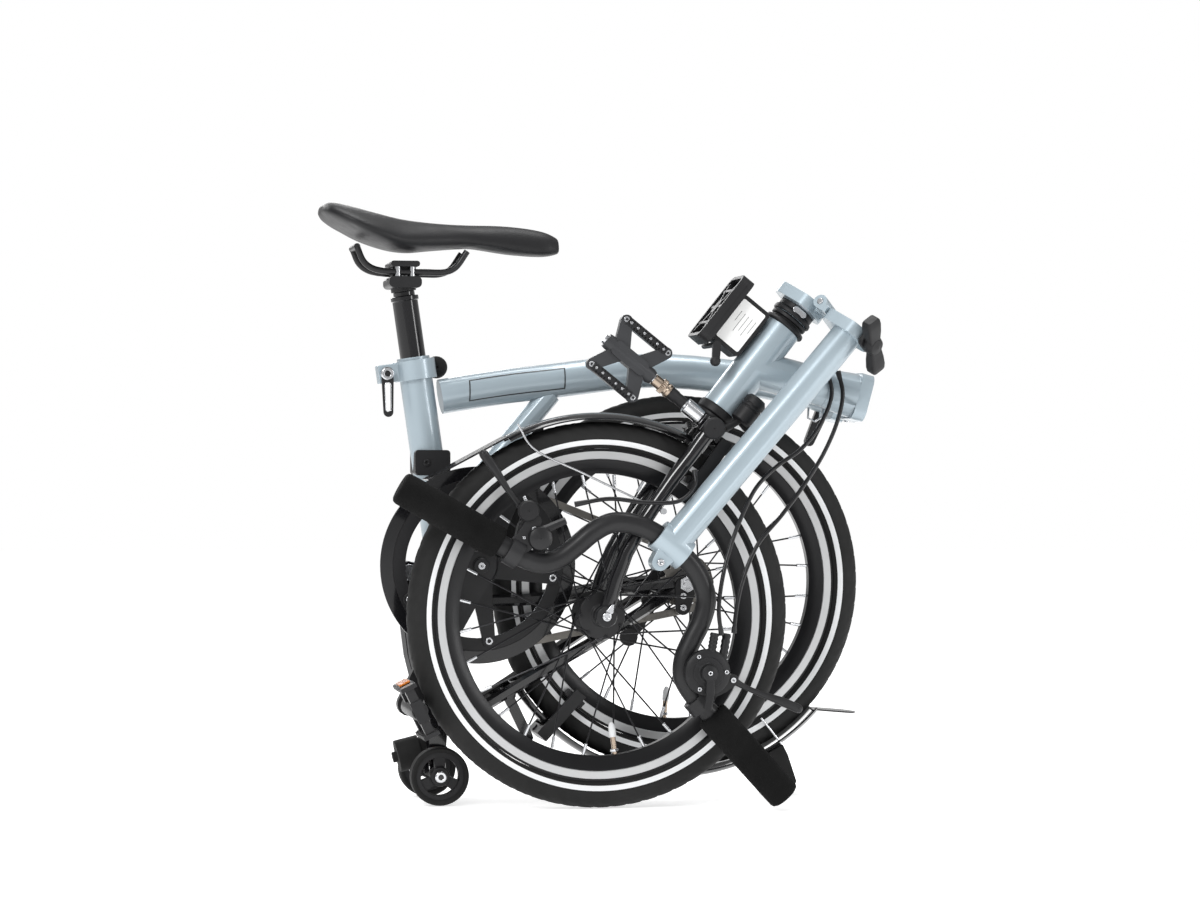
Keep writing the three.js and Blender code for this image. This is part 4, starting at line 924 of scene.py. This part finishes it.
hold = Piece("saddle_clamp_plates", "seatpost")
hold.add(rod((0, 0, 181.3), (0, 0, 190), 14), SATIN, SEAT_LINE)
hold.add(slab(rounded_box(-200, 572.5, 36, 12.5, 5), -28.5, 28.5), SATIN)
hold.add(slab(rounded_box(-200, 592.6, 32, 6.4, 3), -28, 28), SATIN)
hold.add(slab(rounded_box(-200, 582, 26, 22, 5), -16.5, 16.5), SATIN)
for x in (-208, -192):
    hold.add(lathe([(0.5, -9), (3, -9), (3, 9), (0.5, 9)], 14), STEEL, frame_at((x, -23, 583)) @ UPRIGHT)
hold.bolt(-200, 582, -19, -16, 5)
hold.make("saddle_clamp")

eye = Piece("cable_eye", "main_frame")
eye.add(sweep([(258, -20, 436), (257, -21, 424), (265, -22, 420), (274, -21, 426), (275, -20, 438)],
              circle(1.2, 10)), STEEL)
eye.make(bevel=0)

# -------------------- fittings of the head and fork
block_body = Piece("carrier_block_body", "front_frame", STEERING)
block_body.add(slab(rounded_box(-41, 92, 38, 60, 5), -17, 17), PLASTIC)
lay = STEERING @ FACING
front = rounded_box(0, 94, 60, 84, 9)
block_body.add(slab(front, 59, 65), PLASTIC, lay)
block_body.add(annulus(front, rounded_box(0, 94, 51, 75, 6), 64.5, 74), PLASTIC, lay)
for a, b in (((-22, 62), (22, 126)), ((-22, 126), (22, 62)), ((-25, 94), (25, 94)), ((-25, 72), (25, 72)),
             ((-25, 116), (25, 116))):
    block_body.add(slab(capsule(a, b, 1.8, 1.8, 10), 64.5, 73), PLASTIC, lay)
block_body.add(slab(rounded_box(0, 94, 17, 17, 4), 64.5, 73.4), PLASTIC, lay)
block_body.add(slab(rounded_box(-41.5, 92, 31, 51, 2), -17.6, -16.9), LABEL)
for i, share in enumerate((0.5, 0.9, 0.75, 0.86, 0.6, 0.8, 0.4)):
    line = 26 * share
    block_body.add(block(-50.5 + 5 * i, -50 + 5 * i, -17.8, -17.5, 105 - line, 105), DECAL)
block_body.make("carrier_block")

upper = Piece("headset_upper_rings", "front_frame", STEERING @ UPRIGHT)
upper.add(lathe([(13.3, 122.3), (23.6, 122.3), (24.4, 124), (23.6, 127), (19, 128.3), (18.6, 130), (21.4, 131),
                 (21.8, 134), (20.6, 135.5), (13.3, 135.5)], 48), PLASTIC)
upper.make("headset_upper")
boot = Piece("headset_boot", "fork", STEERING @ UPRIGHT)
boot.add(lathe([(20.2, 136.2), (22.6, 136.2), (23.4, 138), (22.8, 141), (21, 142.4), (21, 148.6),
                (20.2, 148.6)], 48), PLASTIC)
boot.add(slab(capsule((-5, 144), (5, 144), 3.6, 3.6, 20), -22.4, -20.6), STEEL, STEERING)
boot.make()
lower = Piece("headset_lower_rings", "front_frame", STEERING @ UPRIGHT)
lower.add(lathe([(13.3, -8), (18.6, -8), (19.8, -6), (19.8, -2.6), (22.4, -1.4), (23, 4), (22.4, 7.7),
                 (13.3, 7.7)], 48), PLASTIC)
lower.make("headset_lower")

lamp = Piece("front_lamp_body", "fork", LAMP)
lamp.add(lathe([(0.6, 7), (10, 7), (12.8, 9), (12.8, 24), (11.8, 24.6), (11.8, 26), (12.8, 26.6), (12.8, 28),
                (11.8, 28.6), (11.8, 30), (12.8, 30.6), (12.8, 36), (11, 38), (9.5, 40), (0.6, 40)], 10),
         PLASTIC, LAMP @ UPRIGHT)
lamp.add(rod((0, 0, 14), (-9, -2, -9), 4), PLASTIC)
lamp.add(slab(capsule((153, 420), (163, 408), 5, 4.6, 16), -132, -128), PLASTIC, BIKE)
lamp.add(ring_bolt(163, 408, -134.5, -131.6, 3.6), BRASS, BIKE)
lamp.make("front_lamp")

cap = Piece("fork_cap", "fork", STEERING)
cap.add(lathe([(0.5, -52), (10, -52), (12, -50.4), (12, -45), (0.5, -45)], 36), PLASTIC, FORK_TOP)
cap.add(lathe([(0.5, 45), (12, 45), (12, 50.4), (10, 52), (0.5, 52)], 36), PLASTIC, FORK_TOP)
cap.make()

lug = Piece("handlepost_lug", "handlepost")
lug.add(slab(capsule((54, 268), (68, 286), 9, 13, 20), -176, -154), PAINT)
lug.bolt(54, 268, -179.6, -175.6, 4.2)
lug.make()

handle = Piece("stem_clamp_wings", "stem_clamp_handle", STEM_CLAMP)
boss = [(0.5, 0.4), (5, 0.4), (5, 3), (9, 4), (10.6, 7), (10.6, 14), (8.6, 18), (0.5, 19.4)]
handle.add(lathe(boss, 36), PLASTIC, STEM_CLAMP @ ALONG)
handle.add(slab(rounded_box(0, 0, 28, 18, 6), -6.5, -1.2), PLASTIC, STEM_CLAMP @ FACING)
shares = [-1, -0.93, -0.78, -0.5, -0.25, 0, 0.25, 0.5, 0.78, 0.93, 1]
swell = [0.78, 0.98, 1.06, 1.0, 0.86, 0.84, 0.86, 1.0, 1.06, 0.98, 0.78]
handle.add(sweep([(12, 34 * t, -14.5 * t) for t in shares], rounded_box(0, 0, 13, 18, 3), swell), PLASTIC)
handle.make("stem_clamp_handle")

stay = Piece("front_mudguard_stay", "fork")
route = [(-92, -128, 416), (-77, -131, 391), (-20, -136, 362), (30, -140, 338), (64, -144, 322)]
stay.add(sweep(smooth_path(route, 6), circle(1.2, 10)), STEEL)
stay.add(rod_y(64, 322, -147, -142, 3.4, 12), STEEL)
stay.make(bevel=0)

tab = Piece("spoke_reflector", "front_wheel")
tab.add(slab(rounded_box(-12, 372, 23, 8, 3.4), -107.6, -102.4), WHITE)
tab.make(slot="rim_alloy")

# -------------------- brake levers and shifter
blade = rounded_box(0, 0, 8, 9, 3)
for side, word in ((-1, "left"), (1, "right")):
    at = frame_at((side * 142, 0, -50), parent=BARS)
    lever = Piece(f"brake_blade_{word}", f"brake_lever_{word}", at)
    reach = [(-4, 0), (12, 2), (32, 7), (56, 15), (78, 21)]
    path = smooth_path([(side * x, 0, z) for x, z in reach], 5)
    sizes = [1.1 - 0.45 * math.sin(math.pi * min(1, i / 16)) for i in range(len(path))]
    lever.add(sweep(path, blade, sizes), SATIN)
    lever.add(ball(4.8), SATIN, at @ Matrix.Translation((side * 78, 0, 21)))
    lever.add(rod_y(0, 0, -4, 4, 6.4), SATIN)
    lever.add(rod_y(0, 0, -7.8, 7.8, 2.4, 12), STEEL)
    lever.make(f"brake_lever_{word}", bevel=0.0003)

bell = Piece("bell_dome", "handlepost", BARS)
bell.add(lathe([(0.5, -17), (8, -16.4), (12, -14.5), (13, -11), (13, -4), (0.5, -4)], 36), SATIN,
         frame_at((-118, 0, -62), parent=BARS))
bell.add(lathe([(0.5, -15), (9.6, -14.4), (11.4, -12.6), (11.4, -8.2), (0.5, -8.2)], 36), PLASTIC,
         frame_at((-146, 0, -47), parent=BARS))
bell.add(slab(capsule((-129, -76), (-134, -52), 11, 8, 24), -9.6, -5.5), SATIN)
for x, z, radius in ((-129, -58, 3.2), (-124, -70, 1.9), (-132, -72, 1.9)):
    bell.bolt(x, z, -11.6, -9.2, radius)
bell.make()


def ribbed(a, b, radius):
    """A cable adjuster: a round barrel with grooves across it."""
    a, b = Vector(a), Vector(b)
    line = [a.lerp(b, i / 12) for i in range(13)]
    return sweep(line, circle(radius, 20), [1.0 if i % 2 else 0.84 for i in range(13)])


shifter = Piece("shifter_housing", "handlepost", BARS)
shifter.add(rod((122, 0, -88.7), (137, 0, -91), 16.4, 36), SATIN)
shifter.add(slab(capsule((129, -78), (138, -62), 8, 7, 20), -6, 6), SATIN)
for y0, y1 in ((-8, -4.5), (4.5, 8)):
    shifter.add(slab(capsule((138, -62), (142, -50), 6.4, 6.4, 20), y0, y1), SATIN)
disc = frame_at((112, 0, -62), parent=BARS)
shifter.add(lathe([(0.5, -27.1), (10, -27.1), (11, -26), (16, -25.6), (17, -24.2), (22, -23.6), (24.6, -21.5),
                   (25, -19), (25, -15), (23.6, -13), (0.5, -13)], 60), PLASTIC, disc)
for degrees in (40, 160, 280):
    shifter.add(ring_bolt(*polar(20, degrees), -25.4, -22, 2.6), STEEL, disc)
shifter.add(slab(capsule((112, -62), (129, -84), 10, 8, 20), -17, -11.9), PLASTIC)
shifter.add(ribbed((104, -19, -46), (92, -19, -24), 5), PLASTIC)
shifter.add(ribbed((120, -17, -46), (104, -14, -16), 5), PLASTIC)
shifter.bolt(142, -50, -10, -7.8, 3.4)
shifter.make("shifter_body", slot="plastic_black")

trigger = Piece("shift_paddle", "shift_trigger", TRIGGER)
trigger.add(lathe([(0.5, -6.4), (5, -6.2), (8.4, -4.6), (9, -3), (9, 0), (0.5, 0)], 32), PLASTIC)
paddle = smooth_path([(0, -3, 0), (9, -3, -10), (16, -3, -20), (22, -3, -32)], 5)
trigger.add(sweep(paddle, rounded_box(0, 0, 4, 9, 1.5)), PLASTIC)
trigger.bolt(0, 0, -7.6, -6, 2.8)
trigger.make("shift_trigger")

# -------------------- small fittings
# The plain outlined mark on the main tube, with no lettering.
mark = Piece("tube_outline_mark", "main_frame")
MARK_RADIUS = 19.75  # just proud of the tube
TUBE = [(-158, 447), (-90, 458), (-23, 466), (68, 477)]
centre_line = smooth_path([(x, 0, z) for x, z in TUBE], 16)


def tube_patch(t0, t1, a0, a1):
    """A thin strip on the main tube between two shares of its length and two angles."""
    verts, rows = [], 9
    cols = max(4, int(abs(t1 - t0) * 60))
    for i in range(cols + 1):
        x = -128 + (t0 + (t1 - t0) * i / cols) * 108
        low = max((p for p in centre_line if p.x <= x), key=lambda p: p.x)
        high = min((p for p in centre_line if p.x > x), key=lambda p: p.x)
        z = low.z + (high.z - low.z) * (x - low.x) / (high.x - low.x)
        for k in range(rows):
            out, up = polar(MARK_RADIUS, a0 + (a1 - a0) * k / (rows - 1))
            verts.append((x, -out, z + up))
    outer = len(verts)
    middle = [(x, y * 0.985, z) for x, y, z in verts]
    faces = []
    for i in range(cols):
        for k in range(rows - 1):
            a = i * rows + k
            faces.append((a, a + 1, a + rows + 1, a + rows))
            faces.append((a + outer, a + rows + outer, a + rows + 1 + outer, a + 1 + outer))
    rim = [i * rows for i in range(cols + 1)] + [cols * rows + k for k in range(1, rows)]
    rim += [i * rows + rows - 1 for i in range(cols - 1, -1, -1)] + [k for k in range(rows - 2, 0, -1)]
    for a, b in zip(rim, rim[1:] + rim[:1]):
        faces.append((a, a + outer, b + outer, b))
    return verts + middle, faces


for patch in ((0, 1, 38, 42), (0, 1, -32, -28), (0, 0.012, -30, 40), (0.988, 1, -30, 40)):
    mark.add(tube_patch(*patch), DECAL)
mark.make(bevel=0)

# The crank bolt, the front hub nut and the rear dropout plate.
trim = Piece("crank_bolt", "crankset", SHELL)
trim.add(ring_bolt(0, 0, -75.5, -71, 9), SATIN)
trim.bolt(0, 0, -76.2, -74, 4.4)
trim.make()
nuts = Piece("front_hub_nut", "fork", FRONT_HUB)
nuts.add(lathe([(5, -49.6), (10.4, -49.6), (12, -47), (12, -41.4), (5, -41.4)], 32), SATIN)
nuts.bolt(0, 0, -52.5, -49, 5.2)
nuts.add(slab([(-3, 3), (5, 13), (8, 13), (7, 4), (0, -2)], -50.4, -49.2), STEEL)
nuts.make(slot="polished_steel")

plate = Piece("rear_dropout_plate", "rear_frame")
plate.add(slab(capsule((107, 236), (104, 214), 12, 8.4, 20), -62.4, -59.6), SATIN)
plate.bolt(104, 214, -64.6, -62, 4)
plate.bolt(104, 227, -64.6, -62, 4)
plate.add(rod((203, -20, 87), (227, -20, 57.5), 1.4, 10), STEEL)
plate.make()

# -------------------- floor
FLOOR_RADIUS, FLOOR_DROP, FLOOR_GLOW = 9, 0.0005, 0.62
floor_mesh = bpy.data.meshes.new("floor")
floor_edge = [(x, y, -FLOOR_DROP) for x, y in circle(FLOOR_RADIUS, 96)]
floor_mesh.from_pydata(floor_edge, [], [tuple(range(96))])
floor = new_object("floor", floor_mesh)
paper = surface("studio_floor", (0.8, 0.8, 0.8), 0.9, 0, 0, 0.01, specular=0.0)
paper.node_tree.nodes["Principled BSDF"].inputs["Emission Color"].default_value = (1, 1, 1, 1)
paper.node_tree.nodes["Principled BSDF"].inputs["Emission Strength"].default_value = FLOOR_GLOW
floor_mesh.materials.append(paper)
